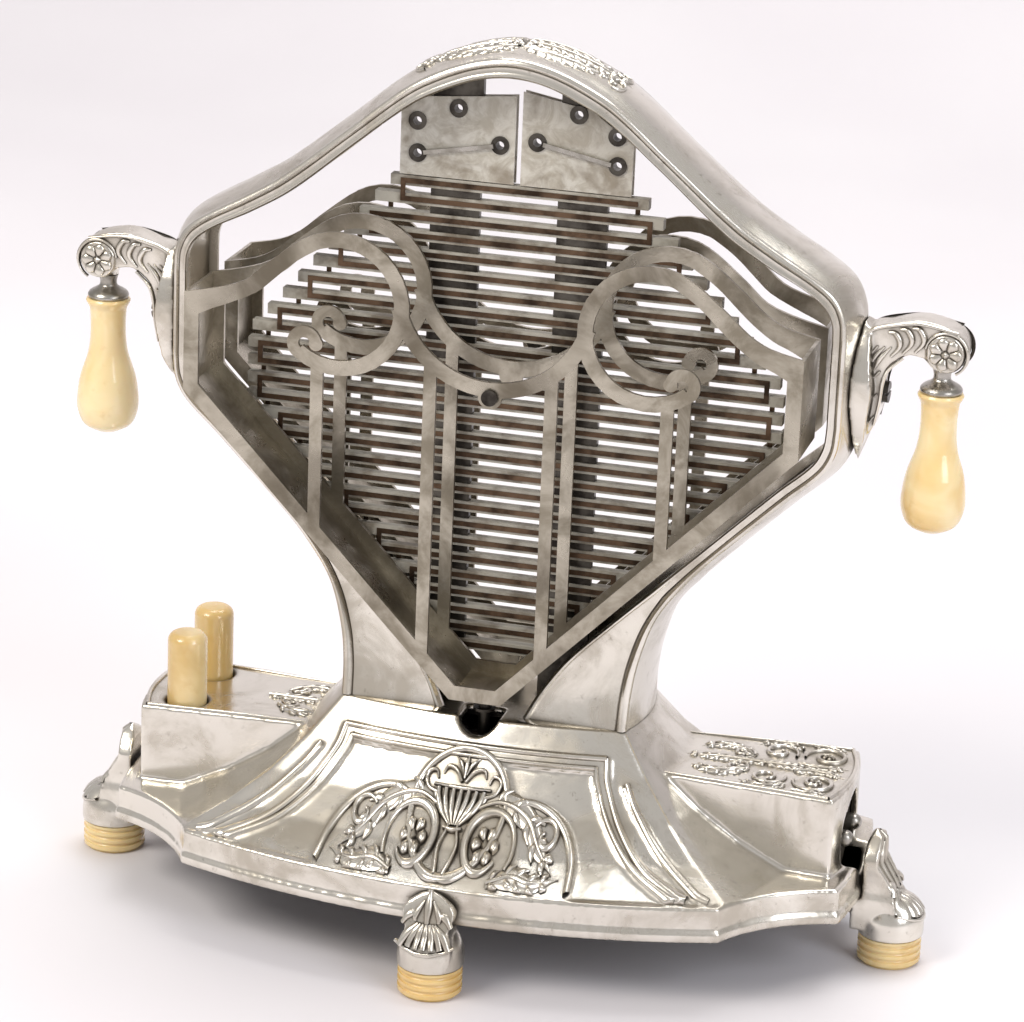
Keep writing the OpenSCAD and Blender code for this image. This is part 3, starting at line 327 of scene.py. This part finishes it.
# Curves and swept relief. Lengths are in millimetres until a piece is made.
def curve(points, steps):
    """A smooth path through points, as the CAD model's own curve function draws it."""
    p = [Vector(q) for q in points]
    ends = [(p[max(i - 1, 0)], p[min(i + 1, len(p) - 1)]) for i in range(len(p))]
    tangent = [(b - a).normalized() for a, b in ends]
    path = []
    for i in range(len(p) - 1):
        span = (p[i + 1] - p[i]).length
        for k in range(steps):
            t = k / steps
            path.append(p[i] * (1 + t * t * (2 * t - 3)) + p[i + 1] * t * t * (3 - 2 * t)
                        + tangent[i] * span * t * (1 - t) ** 2
                        - tangent[i + 1] * span * t * t * (1 - t))
    return path + [p[-1]]


def spiral(centre, start, end, turn_from, turn_to, steps=28):
    """A path that winds about centre while its radius goes from start to end."""
    path = []
    for i in range(steps + 1):
        t = i / steps
        angle = radians(turn_from + (turn_to - turn_from) * t)
        radius = start + (end - start) * t
        path.append(Vector((centre[0] + radius * cos(angle), centre[1] + radius * sin(angle))))
    return path


def ring(centre, radius, steps=40):
    """A closed circle."""
    return spiral(centre, radius, radius, 0, 360, steps)


def shape_at(values, t):
    """A value that goes smoothly through the listed ones as t goes from 0 to 1."""
    place = t * (len(values) - 1)
    i = min(int(place), len(values) - 2)
    f = place - i
    return values[i] + (values[i + 1] - values[i]) * f * f * (3 - 2 * f)


def on_side(s, points):
    """Points with their first number times s, which is 1 or -1."""
    return [(s * x, z) for x, z in points]


# Places across a ridge, from one edge to the other
ACROSS = (-1, -0.8, -0.45, 0, 0.45, 0.8, 1)


def add_stroke(mesh, place, path, widths, height, sink=0.25):
    """Adds a rounded ridge to a mesh: it follows a flat path that place() lays on the surface."""
    verts, faces = mesh
    first = len(verts)
    last = len(path) - 1
    for i, p in enumerate(path):
        d = path[min(i + 1, last)] - path[max(i - 1, 0)]
        side = Vector((-d.y, d.x)).normalized()
        half = max(shape_at(widths, i / last), 0.02) / 2
        tall = height * min(1.0, 2.4 * half / max(widths))
        for c in ACROSS:
            q = p + side * (half * c)
            lift = -sink if abs(c) == 1 else tall * sqrt(1 - c * c)
            verts.append(place(q.x, q.y, lift))
    n = len(ACROSS)
    for i in range(last):
        for j in range(n - 1):
            a = first + i * n + j
            faces.append((a, a + 1, a + n + 1, a + n))


def add_leaf(mesh, place, spine, width, height, lobes=5, spread=52):
    """An acanthus leaf: a midrib along the spine with curled lobes on both sides."""
    path = curve(spine, 8)
    last = len(path) - 1
    add_stroke(mesh, place, path, (width * 0.35, width * 0.95, width * 0.7, 0.1), height * 0.5)
    add_stroke(mesh, place, path, (width * 0.18, width * 0.24, 0.1), height)
    for k in range(lobes):
        t = (k + 0.4) / (lobes + 0.3)
        i = int(t * last)
        ahead = (path[min(i + 1, last)] - path[max(i - 1, 0)]).normalized()
        reach = width * 0.62 * sin(pi * (0.22 + 0.7 * t)) + 0.2
        for s in (-1, 1):
            out = Matrix.Rotation(radians(s * spread), 2) @ ahead
            curl = Matrix.Rotation(radians(s * (spread - 42)), 2) @ ahead
            tip = path[i] + out * reach * 0.75 + curl * reach * 0.55
            vein = curve([path[i], path[i] + out * reach * 0.55, tip], 5)
            add_stroke(mesh, place, vein, (width * 0.16, width * 0.34, width * 0.1), height * 0.85)


def add_rosette(mesh, place, centre, radius, petals, height):
    """A round flower: petals about a button."""
    c = Vector(centre)
    for k in range(petals):
        out = Vector((cos(2 * pi * k / petals), sin(2 * pi * k / petals)))
        petal = [c + out * radius * t for t in (0.28, 0.5, 0.72, 0.9, 1.0)]
        add_stroke(mesh, place, petal, (radius * 0.25, radius * 0.8, radius * 0.3), height)
    button = [c + Vector((radius * t, 0)) for t in (-0.3, -0.15, 0, 0.15, 0.3)]
    add_stroke(mesh, place, button, (0.05, radius * 0.62, 0.05), height * 1.25)


def make_piece(name, mesh, material, body, crease=50):
    """An object from a mesh in millimetres, which rides on a body."""
    verts, faces = mesh
    data = bpy.data.meshes.new(name)
    data.from_pydata([Vector(v) * MM for v in verts], [], faces)
    work = bmesh.new()
    work.from_mesh(data)
    bmesh.ops.remove_doubles(work, verts=work.verts, dist=2e-6)
    bmesh.ops.recalc_face_normals(work, faces=work.faces)
    work.to_mesh(data)
    work.free()
    data.polygons.foreach_set("use_smooth", [True] * len(data.polygons))
    data.set_sharp_from_angle(angle=radians(crease))
    data.materials.append(material)
    piece = bpy.data.objects.new(name, data)
    bpy.context.scene.collection.objects.link(piece)
    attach(piece, body)
    return piece


def turned(place, x_sign=1, y_sign=1):
    """The same place on the other side of the toaster."""
    def other(a, b, lift):
        p = place(a, b, lift)
        return (p[0] * x_sign, p[1] * y_sign, p[2])
    return other


# The frame: the CAD model's outline, drawn finer, with a bead along its edges
def frame_pairs():
    """Matched points of the frame's outer and inner edges, from the top down the right side."""
    h, t, p = FRAME_HALF, ARCH_TOP, PED_TOP
    rows = [(0, t, 0, t - 5.1), (10, t - 1.5, 9.2, t - 6.3), (20, t - 5.2, 18.4, t - 9.8),
            (30, t - 10.9, 27.5, t - 14.6), (45.5, t - 23.8, 42.5, t - 26.5),
            (64.5, t - 39.2, 61.5, t - 42.4), (h - 20, t - 46.4, h - 22.3, t - 50),
            (h - 9, t - 52.7, h - 11.2, t - 55.8), (h - 3.2, t - 57.2, h - 6, t - 59.8),
            (h - 0.5, t - 62.7, h - 3.9, t - 63.8), (h, t - 68.2, h - 3.5, t - 68.2),
            (h, t - 71.2, h - 3.5, t - 71.2), (h, p + 97, h - 3.5, p + 97),
            (h, p + 94, h - 3.5, p + 94), (h - 0.8, p + 87.3, h - 4.1, p + 88.8),
            (h - 4, p + 81.3, h - 6.7, p + 83.6), (h - 13.4, p + 72.4, h - 15.9, p + 74.9),
            (61.2, p + 51, 58.7, p + 53.5), (54.3, p + 42.8, 49, p + 44),
            (PED_END + 2.5, p + 32.3, 34.5, p + 29.5), (PED_END - 1.5, p + 19.8, 22.8, p + 17.6),
            (PED_END - 3, p + 9.8, 16, p + 8), (PED_END - CROWN, p, 11.8, p)]
    return [((a, b), (c, d)) for a, b, c, d in rows]


pairs = frame_pairs()
halves = [[q[k] for q in pairs] for k in (0, 1)]
outer_edge, inner_edge = [curve([(-x, z) for x, z in reversed(half)] + half[1:], FRAME_STEPS)
                          for half in halves]


def frame_deep(z):
    """Half the frame's depth at a height."""
    flare = max(0.0, 1 - (z - PED_TOP) / FRAME_SWEEP) ** 2
    return FRAME_DEPTH + (FRAME_FOOT_DEPTH - FRAME_DEPTH) * flare


def crown_at(x, z):
    """How far the frame's crown stands out: less at the top, where the leaves lie on it."""
    near = max(0.0, 1 - abs(x) / CROWN_TOP_REACH) if z > ARCH_TOP / 2 else 0.0
    return CROWN - CROWN_TOP_CUT * near * near * (3 - 2 * near)


def frame_section(h, w, tall):
    """The frame's section as depths and distances inwards, from its front inner edge round."""
    k = min(1.0, w / 7)
    front = [(-h + WEB - 0.3, w), (-h + 0.4, w), (-h, w - 0.4), (-h - 0.5 * k, w - 0.9 * k),
             (-h - 0.5 * k, w - 1.6 * k), (-h - 0.05, w - 2.2 * k), (-h, w - 2.5 * k),
             (-h, 2.9 * k), (-h + 0.35 * k, 2.5 * k), (-h - 0.45 * k, 1.9 * k),
             (-h - 0.8 * k, 1.1 * k), (-h - 0.5 * k, 0.2 * k), (-h + 0.3, -0.45),
             (-h + 1.1, -0.55)]
    crown = []
    for i in range(13):
        c = -0.88 + 1.76 * i / 12
        crown.append((c * h, -tall * (1 - c * c)))
    back = [(-y, s) for y, s in reversed(front)]
    inside = []
    for i in range(7):
        c = 1 - i / 3
        y = c * (h - WEB)
        inside.append((y, WEB - tall * (1 - (y / h) ** 2)))
    return front + crown + back + inside


def build_frame():
    """The frame as one closed sweep of its section."""
    verts, faces = [], []
    rings = len(outer_edge)
    for o, i in zip(outer_edge, inner_edge):
        w = (i - o).length
        u = (i - o) / w
        section = frame_section(frame_deep(o.y), w, crown_at(o.x, o.y))
        verts += [(o.x + u.x * s, y, o.y + u.y * s) for y, s in section]
    n = len(verts) // rings
    for r in range(rings - 1):
        for j in range(n):
            a, b = r * n + j, r * n + (j + 1) % n
            faces.append((a, b, b + n, a + n))
    # one face closes the end of each leg
    for r in (0, rings - 1):
        faces.append(tuple(r * n + j for j in range(n)))
    piece = make_piece("frame_dressed", (verts, faces), NICKEL, "body", 38)
    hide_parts("frame_shell")


def on_arch(s, across, lift):
    """A place on the crown of the arch: s runs along it from its top, across goes to the rear."""
    mid = len(outer_edge) // 2
    length, i = 0.0, mid
    step = 1 if s >= 0 else -1
    while 0 < i < len(outer_edge) - 1:
        d = (outer_edge[i + step] - outer_edge[i]).length
        if length + d > abs(s):
            break
        length += d
        i += step
    f = (abs(s) - length) / (outer_edge[i + step] - outer_edge[i]).length
    o = outer_edge[i].lerp(outer_edge[i + step], f)
    w = inner_edge[i].lerp(inner_edge[i + step], f)
    out = (o - w).normalized()
    crown = crown_at(o.x, o.y) * (1 - (across / FRAME_DEPTH) ** 2) + lift
    return (o.x + out.x * crown, across, o.y + out.y * crown)


# The flared front of the base
def flare_at(z):
    """Radius of the front flare at a height, and how fast it shrinks with height."""
    low, high = Vector((FLARE_LOW, SKIRT_TOP)), Vector((FLARE_HIGH, PED_TOP))
    d = high - low
    n = Vector((d.y, -d.x)) / d.length
    centre = (low + high) / 2 + n * sqrt(FLARE_BEND ** 2 - d.length_squared / 4)
    rise = min(max(z, SKIRT_TOP), PED_TOP) - centre.y
    depth = sqrt(FLARE_BEND ** 2 - rise * rise)
    return centre.x - depth, rise / depth


def on_flare(x, z, lift):
    """A place on the front panel of the base."""
    radius, slope = flare_at(z)
    grow = 1 / sqrt(1 + slope * slope)
    r = radius + lift * grow
    turn = x / radius
    return (r * sin(turn), BOW_AXIS - r * cos(turn), z - slope * lift * grow)


def on_medal(x, z, lift):
    """The same place, on the raised medallion and scroll pad."""
    return on_flare(x, z, lift + RELIEF)


def relief(name, mesh):
    """A piece of cast ornament on the fixed body."""
    make_piece(name, mesh, NICKEL, "body")


def add_panel_ribs(mesh, panel):
    """The double ribs round a panel and the single ones beside them."""
    top_z = PED_TOP - 7
    side = [(CORNER_X - 8.5, SKIRT_TOP + 0.2), (CORNER_X - 11.5, SKIRT_TOP + 1),
            (CORNER_X - 23, SKIRT_TOP + 5.6), (CORNER_X - 31.9, SKIRT_TOP + 13),
            (PED_END - 5, PED_TOP - 12.8), (PED_END - 6.6, top_z)]
    for inward, width in ((0.0, 2.0), (2.4, 1.6)):
        right = [Vector((x - 1.2 * inward, min(z, top_z - inward))) for x, z in curve(side, 8)]
        left = [Vector((-p.x, p.y)) for p in reversed(right)]
        add_stroke(mesh, panel, left, (width * 1.3, width, width), 1.9)
        add_stroke(mesh, panel, right, (width * 1.3, width, width), 1.9)
        top = [Vector((x * right[-1].x / 12, right[-1].y)) for x in range(-12, 13)]
        add_stroke(mesh, panel, top, (width, width, width), 1.9)
    edge = [(CORNER_X - 2, SKIRT_TOP + 0.4), (CORNER_X - 7, SKIRT_TOP + 1.8),
            (CORNER_X - 19.3, SKIRT_TOP + 8.6), (CORNER_X - 28.9, SKIRT_TOP + 17.3),
            (PED_END + 0.4, PED_TOP - 12.5)]
    for s in (-1, 1):
        add_stroke(mesh, panel, curve(on_side(s, edge), 8), (1.4, 2.2, 1.6), 1.5)


def add_scroll_pad(mesh, medal, s):
    """One side of the medallion: its rim, scroll, rosette and leaves, and half the urn's sprays."""
    def line(points, steps, widths, height):
        add_stroke(mesh, medal, curve(on_side(s, points), steps), widths, height)

    line([(36.6, 31.4), (35.2, 37), (31, 42.8), (25, 46.6), (19, 47.8), (14.4, 46.6)], 7,
         (2.0, 2.0, 1.6), 0.9)
    # the scroll with its rosette, and the leaf that springs from it
    add_stroke(mesh, medal, spiral((s * 10.6, 38.2), 8.2, 4.4, 90 - s * 120, 90 + s * 230),
               (1.2, 2.7, 1.2), 1.5)
    add_rosette(mesh, medal, (s * 10.4, 38.2), 3.9, 6, 1.5)
    add_leaf(mesh, medal, on_side(s, [(4.5, 44.6), (12, 47), (20, 44.5), (25.5, 38.5), (31, 34)]),
             6.4, 1.3, 6)
    add_stroke(mesh, medal, spiral((s * 26.6, 41), 4.0, 0.9, 90 + s * 60, 90 - s * 330, 20),
               (1.2, 1.8, 1.0), 1.2)
    add_leaf(mesh, medal, on_side(s, [(14, 31.8), (20, 33.2), (26, 32.4), (33.4, 33.6)]),
             4.4, 1.0, 5)
    line([(1.2, 32), (2.6, 37), (1.4, 41.5), (4.6, 45)], 5, (1.4, 1.0, 0.5), 1.1)
    # a handle of the urn and the sprays above it
    line([(6.8, 47.5), (9.8, 48.6), (10.6, 51.4), (8.4, 52.4), (7.4, 50.6)], 5,
         (1.1, 1.2, 0.6), 1.2)
    line([(0.5, 50.5), (2.6, 53), (5.2, 53.6), (6.2, 51.8)], 5, (0.9, 1.3, 0.5), 1.2)
    line([(0.4, 52), (1.6, 54.6), (3.4, 56.2)], 5, (0.7, 1.3, 0.3), 1.2)


def panel_ornament():
    """Ribs, medallion and scroll pad on the front and rear of the base."""
    for name, y_sign in (("front", 1), ("rear", -1)):
        panel, medal = turned(on_flare, 1, y_sign), turned(on_medal, 1, y_sign)
        mesh = ([], [])
        add_panel_ribs(mesh, panel)
        add_stroke(mesh, medal, ring((0, 45), 13.4, 64), (2.0, 2.0), 0.9)
        for s in (-1, 1):
            add_scroll_pad(mesh, medal, s)
        # the urn: its gadroons, rim, middle spray and foot
        for k in range(-3, 4):
            gadroon = [(k * 2.2, 48.6), (k * 2.0, 46.2), (k * 1.35, 43.6), (k * 0.45, 41.2)]
            add_stroke(mesh, medal, curve(gadroon, 5), (1.5, 2.1, 0.7), 1.6)
        for points, steps, widths, height in (
                ([(-8.2, 49.3), (0, 49), (8.2, 49.3)], 8, (0.8, 1.3, 0.8), 1.5),
                ([(0, 51.2), (0, 54), (0, 57.6)], 6, (1.0, 1.6, 0.3), 1.4),
                ([(-2.6, 40.6), (0, 40.2), (2.6, 40.6)], 6, (0.8, 1.2, 0.8), 1.4)):
            add_stroke(mesh, medal, curve(points, steps), widths, height)
        relief("panel_relief_" + name, mesh)


def add_wing_leaves(mesh, place, s, first):
    """The leaf and scroll nearest the pedestal, on one side of a wing."""
    add_leaf(mesh, place, [(first + 15, s * 4), (first + 11, s * 8.6), (first + 5, s * 9.6),
                           (first - 1, s * 7)], 5.4, 1.1, 6)
    add_stroke(mesh, place, spiral((first + 11.6, s * 5.2), 4.0, 0.8, -s * 90, s * 330, 28),
               (0.8, 1.4, 0.9), 1.0)


def add_outer_leaves(mesh, place, s):
    """The scrolls and leaves on the outer part of the right wing, on one side of it."""
    add_stroke(mesh, place, spiral((95.5, s * 9.8), 6.6, 1.4, 180 + s * 10, 180 - s * 480, 40),
               (0.9, 1.7, 1.1), 1.1)
    add_leaf(mesh, place, [(88, s * 3), (92, s * 1.8), (97.5, s * 2), (102.5, s * 3.4)],
             4.2, 1.0, 5)
    add_stroke(mesh, place, spiral((81.5, s * 9.6), 5.4, 1.2, -s * 20, s * 440, 34),
               (0.9, 1.5, 1.0), 1.1)
    add_leaf(mesh, place, [(87.5, s * 13.5), (84, s * 16), (79, s * 16), (74, s * 13.6)],
             4.0, 1.0, 5)
    add_leaf(mesh, place, [(90, s * 16.8), (95, s * 17.3), (100, s * 15.6)], 3.4, 0.9, 4)


def wing_ornament():
    """Scrolling leaves on the flat tops of the wings, with a raised border."""
    def on_wing(x, y, lift):
        return (x, y, WING_TOP + lift)

    end = 104.0
    for side, sx, first in (("right", 1, 60), ("left", -1, 50)):
        mesh = ([], [])
        place = turned(on_wing, sx)
        for s in (-1, 1):
            add_stroke(mesh, place, curve([(52, s * 15.9), (78, s * 17.6), (end - 3, s * 19.1)], 8),
                       (0.5, 1.1, 1.3), 0.7)
        add_stroke(mesh, place, curve([(end - 3, -19.1), (end - 0.4, -10), (end + 0.5, 0),
                                       (end - 0.4, 10), (end - 3, 19.1)], 7), (1.3, 1.6, 1.3), 0.8)
        for s in (-1, 1):
            if side == "right":
                add_outer_leaves(mesh, place, s)
            add_wing_leaves(mesh, place, s, first)
        add_leaf(mesh, place, [(first + 20, 0), (first + 12, 0.1), (first + 4, 0), (first - 4, 0)],
                 5.2, 1.1, 7)
        if side == "right":
            add_leaf(mesh, place, [(79, 0), (85, 0.1), (91, 0)], 5.0, 1.1, 5)
            add_rosette(mesh, place, (95.5, -9.8), 2.0, 5, 1.1)
            add_rosette(mesh, place, (95.5, 9.8), 2.0, 5, 1.1)
        relief("wing_relief_" + side, mesh)


def arch_ornament():
    """The leaves on the top of the arch."""
    mesh = ([], [])
    for s in (-1, 1):
        for y in (-4.6, 4.6):
            leaf = on_side(s, [(1, y), (8, y * 1.25), (17, y * 1.1), (25, y * 0.5)])
            add_leaf(mesh, on_arch, leaf, 6.0, 0.9, 7)
        add_leaf(mesh, on_arch, on_side(s, [(2, 0), (12, 0.1), (22, 0), (31, 0)]), 5.6, 1.0, 8)
        for y, turn in ((4.2, 1), (-4.2, -1)):
            curl = spiral((s * 27, y), 3.4, 0.7, turn * 90, turn * (90 - s * 400), 26)
            add_stroke(mesh, on_arch, curl, (0.8, 1.3, 0.8), 0.9)
    add_rosette(mesh, on_arch, (0, 0), 3.6, 7, 1.0)
    relief("arch_relief", mesh)


# Toe leaves: how far out of the foot's middle the surface lies, and at what height
BOW_LEAF = [(9.0, 10.5), (7.0, 17.6), (3.4, 27.0), (1.6, 31.0)]
END_LEAF = [(4.0, 10.5), (1.0, 23.6), (-3.8, 31.0), (-3.3, 38.0), (-5.8, 40.0)]


def toe_reach(side, z, rows):
    """How far a toe's surface lies outside its foot's middle: the leaf's or the dome's."""
    leaf = rows[-1][0]
    for (y0, z0), (y1, z1) in zip(rows, rows[1:]):
        if z <= z1:
            leaf = y0 + (y1 - y0) * (z - z0) / (z1 - z0)
            break
    inside = TOE_R ** 2 - side * side - max(0.0, z - FOOT_H - TOE_EDGE) ** 2
    return max(leaf, sqrt(inside) if inside > 0 else -TOE_R)


def on_bow(x, z, lift):
    """A place on the front toe, kept within the CAD model's depth."""
    return (x, -FOOT_Y - min(TOE_R, toe_reach(x, z, BOW_LEAF) + lift), z)


def on_end(y, z, lift):
    """A place on the right toe."""
    return (FOOT_X + toe_reach(y, z, END_LEAF) + lift, y, z)


def toe_ornament():
    """Fluted shells and leaf ribs on the toes."""
    for name, place, top in (("front", on_bow, 31.5), ("rear", turned(on_bow, 1, -1), 31.5),
                             ("right", on_end, 39.5), ("left", turned(on_end, -1), 39.5)):
        mesh = ([], [])
        add_stroke(mesh, place, curve([(0, top), (0, top - 5), (0, 22.6)], 6), (1.2, 2.6, 1.6), 1.2)
        for s in (-1, 1):
            rib = on_side(s, [(1.2, top - 3), (3.4, top - 7), (3.4, 23)])
            add_stroke(mesh, place, curve(rib, 6), (0.9, 2.0, 1.2), 1.0)
            lobe = on_side(s, [(2.4, 25), (5, 24.6), (7, 22)])
            add_stroke(mesh, place, curve(lobe, 6), (0.9, 2.2, 1.2), 0.9)
        for k in range(-3, 4):
            flute = curve([(k * 0.8, 22.4), (k * 1.7, 19.6), (k * 2.35, 16.2)], 5)
            add_stroke(mesh, place, flute, (1.1, 2.3, 2.0), 1.1)
        rim = curve([(-8.6, 17.2), (-5.4, 15.4), (0, 14.6), (5.4, 15.4), (8.6, 17.2)], 6)
        add_stroke(mesh, place, rim, (0.9, 1.3, 0.9), 0.7)
        relief("toe_relief_" + name, mesh)


def bracket_ornament():
    """Rosettes, leaf scales and curled leaves on the handle brackets."""
    side = BRACKET_T / 2
    f, g = FRAME_HALF, GRIP_TOP

    def on_face(x, z, lift):
        return (x, -side - lift, z)

    def on_boss(x, z, lift):
        return (x, -side - 1 - lift, z)

    for name, sx in (("right", 1), ("left", -1)):
        mesh = ([], [])
        for sy in (1, -1):
            place = turned(on_face, sx, sy)

            def line(points, steps, widths, height):
                add_stroke(mesh, place, curve(points, steps), widths, height)

            add_rosette(mesh, turned(on_boss, sx, sy), ROSETTE, 4.6, 7, 0.9)
            add_stroke(mesh, place, spiral(ROSETTE, 6.3, 5.6, -60, 170, 24), (0.8, 1.3, 0.9), 0.9)
            for x, z in ((f + 18.5, g + 15.2), (f + 15.2, g + 14.6), (f + 12, g + 13.4)):
                line([(x - 0.5, z - 3.4), (x + 1.8, z), (x + 0.4, z + 3.2), (x - 1.6, z + 3.4)], 5,
                     (0.8, 1.9, 0.9), 1.0)
            line([(f + 2, g + 12.5), (f + 6, g + 17), (f + 12, g + 19), (f + 19, g + 20),
                  (ROSETTE[0] + 3, ROSETTE[1] + 6)], 6, (0.9, 1.3, 0.9), 0.8)
            line([(f + 8, g - 10), (f + 9.2, g - 3), (f + 9.6, g + 2), (f + 11, g + 6),
                  (f + 15, g + 10)], 6, (0.7, 1.1, 0.8), 0.7)
            for k in range(3):
                low = g - 9 + 6.5 * k
                line([(f + 1.6, low - 1), (f + 4.4, low - 2.6), (f + 8 + 0.4 * k, low + 1.5)], 6,
                     (0.6, 1.1, 0.6), 0.7)
            for k in range(4):
                line([(f + 2 + 1.6 * k, g + 5), (f + 3.4 + 1.7 * k, g + 9),
                      (f + 6 + 1.8 * k, g + 12.6)], 5, (0.5, 1.5, 0.6), 0.7)
        relief("bracket_relief_" + name, mesh)


def button_springs():
    """The coil under each button, built at the length of the CAD spring it replaces."""
    for name in ("front", "rear"):
        node = "button_spring_" + name
        a, b = [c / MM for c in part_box(node)]
        middle = (a + b) / 2
        reach = (b.x - a.x) / 2 - SPRING_WIRE
        verts, faces = [], []
        steps, sides = SPRING_TURNS * COIL_STEPS, COIL_SIDES
        for i in range(steps + 1):
            t = i / steps
            angle = 2 * pi * SPRING_TURNS * t
            z = a.z + SPRING_WIRE + (b.z - a.z - 2 * SPRING_WIRE) * t
            for k in range(sides):
                turn = 2 * pi * k / sides
                r = reach + SPRING_WIRE * cos(turn)
                verts.append((middle.x + r * cos(angle), middle.y + r * sin(angle),
                              z + SPRING_WIRE * sin(turn)))
        for i in range(steps):
            for k in range(sides):
                p, q = i * sides + k, i * sides + (k + 1) % sides
                faces.append((p, q, q + sides, p + sides))
        faces += [tuple(range(sides)), tuple(range(steps * sides, (steps + 1) * sides))]
        piece = make_piece("button_coil_" + name, (verts, faces), BRIGHT, "body")
        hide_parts(node)
        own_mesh(piece)


build_frame()
button_springs()
panel_ornament()
wing_ornament()
arch_ornament()
toe_ornament()
bracket_ornament()


# Camera, as the photograph was taken
CAMERA_AT = Vector((0.2733, -1.0425, 0.4894))
YAW = radians(14.62)
PITCH = radians(18.88)
ROLL = radians(2.31)
FOCAL_PIXELS = 4000.0
IMAGE_WIDTH = 1024.0
SENSOR_MM = 36.0


def place_camera():
    """The camera at the photograph's place and angle."""
    forward = Vector((-sin(YAW) * cos(PITCH), cos(YAW) * cos(PITCH), -sin(PITCH)))
    level = Vector((cos(YAW), sin(YAW), 0))
    upright = level.cross(forward)
    right = cos(ROLL) * level + sin(ROLL) * upright
    up = -sin(ROLL) * level + cos(ROLL) * upright
    data = bpy.data.cameras.new("camera")
    data.sensor_width = SENSOR_MM
    data.lens = FOCAL_PIXELS / IMAGE_WIDTH * SENSOR_MM
    camera = bpy.data.objects.new("camera", data)
    turn = Matrix((right, up, -forward)).transposed().to_4x4()
    camera.matrix_world = Matrix.Translation(CAMERA_AT) @ turn
    bpy.context.scene.collection.objects.link(camera)
    bpy.context.scene.camera = camera


def area_lamp(name, at, toward, size, power, tint):
    """A soft rectangular lamp that faces a point."""
    data = bpy.data.lights.new(name, "AREA")
    data.shape = "RECTANGLE"
    data.size, data.size_y = size
    data.energy = power
    data.color = srgb(tint)[:3]
    lamp = bpy.data.objects.new(name, data)
    lamp.location = at
    lamp.rotation_euler = (Vector(toward) - Vector(at)).to_track_quat("-Z", "Y").to_euler()
    bpy.context.scene.collection.objects.link(lamp)


def pale_world():
    """Even pale surroundings, lighter where the camera sees them than where they light."""
    world = bpy.data.worlds.new("studio")
    bpy.context.scene.world = world
    world.use_nodes = True
    tree = world.node_tree
    tree.nodes.clear()
    seen = add_node(tree, "ShaderNodeLightPath").outputs["Is Camera Ray"]
    lit = add_node(tree, "ShaderNodeBackground", Color=srgb("#dedcdc"), Strength=0.75)
    shown = add_node(tree, "ShaderNodeBackground", Color=srgb("#efedef"), Strength=1.0)
    both = add_node(tree, "ShaderNodeMixShader", _0=seen, _1=lit.outputs[0], _2=shown.outputs[0])
    add_node(tree, "ShaderNodeOutputWorld", Surface=both.outputs[0])


FLOOR_HALF = 2.2
FLOOR_NEAR = -1.6
FLOOR_FAR = 0.9  # where the floor starts to curve up
FLOOR_BEND = 0.5
FLOOR_TOP = 1.6


def pale_floor():
    """A matt white table top that curves up behind the object, in metres."""
    mat, tree, place = new_material("matt_white_card")
    tone = ramp_of(tree, noise_of(tree, place, 300, 2), 0.3, 0.7)
    finish_shader(tree, Base_Color=mix_of(tree, tone, srgb("#dcd9db"), srgb("#d6d2d5")),
                  Roughness=0.6)
    mesh = bpy.data.meshes.new("floor")
    rows = [(FLOOR_NEAR, 0.0), (FLOOR_FAR, 0.0)]
    rows += [(FLOOR_FAR + FLOOR_BEND * sin(radians(a)), FLOOR_BEND - FLOOR_BEND * cos(radians(a)))
             for a in range(10, 91, 10)]
    rows += [(FLOOR_FAR + FLOOR_BEND, FLOOR_TOP)]
    verts = [(x, y, z) for y, z in rows for x in (-FLOOR_HALF, FLOOR_HALF)]
    faces = [(2 * i, 2 * i + 1, 2 * i + 3, 2 * i + 2) for i in range(len(rows) - 1)]
    mesh.from_pydata(verts, [], faces)
    mesh.polygons.foreach_set("use_smooth", [True] * len(faces))
    mesh.materials.append(mat)
    floor = bpy.data.objects.new("floor", mesh)
    bpy.context.scene.collection.objects.link(floor)


# Name, place, point faced, size in metres, watts and tint of each lamp
LAMPS = (("key", (-0.9, -1.1, 1.5), (0, 0, 0.12), (0.9, 0.9), 26, "#fffaf2"),
         ("fill", (1.3, -0.9, 0.9), (0, 0, 0.1), (0.7, 1.1), 13, "#f2f6ff"),
         ("top", (0.1, 0.5, 1.6), (0, 0, 0.1), (1.2, 0.8), 16, "#ffffff"))

place_camera()
pale_world()
pale_floor()
for lamp in LAMPS:
    area_lamp(*lamp)

bpy.context.scene.view_settings.view_transform = "Standard"
bpy.context.view_layer.update()
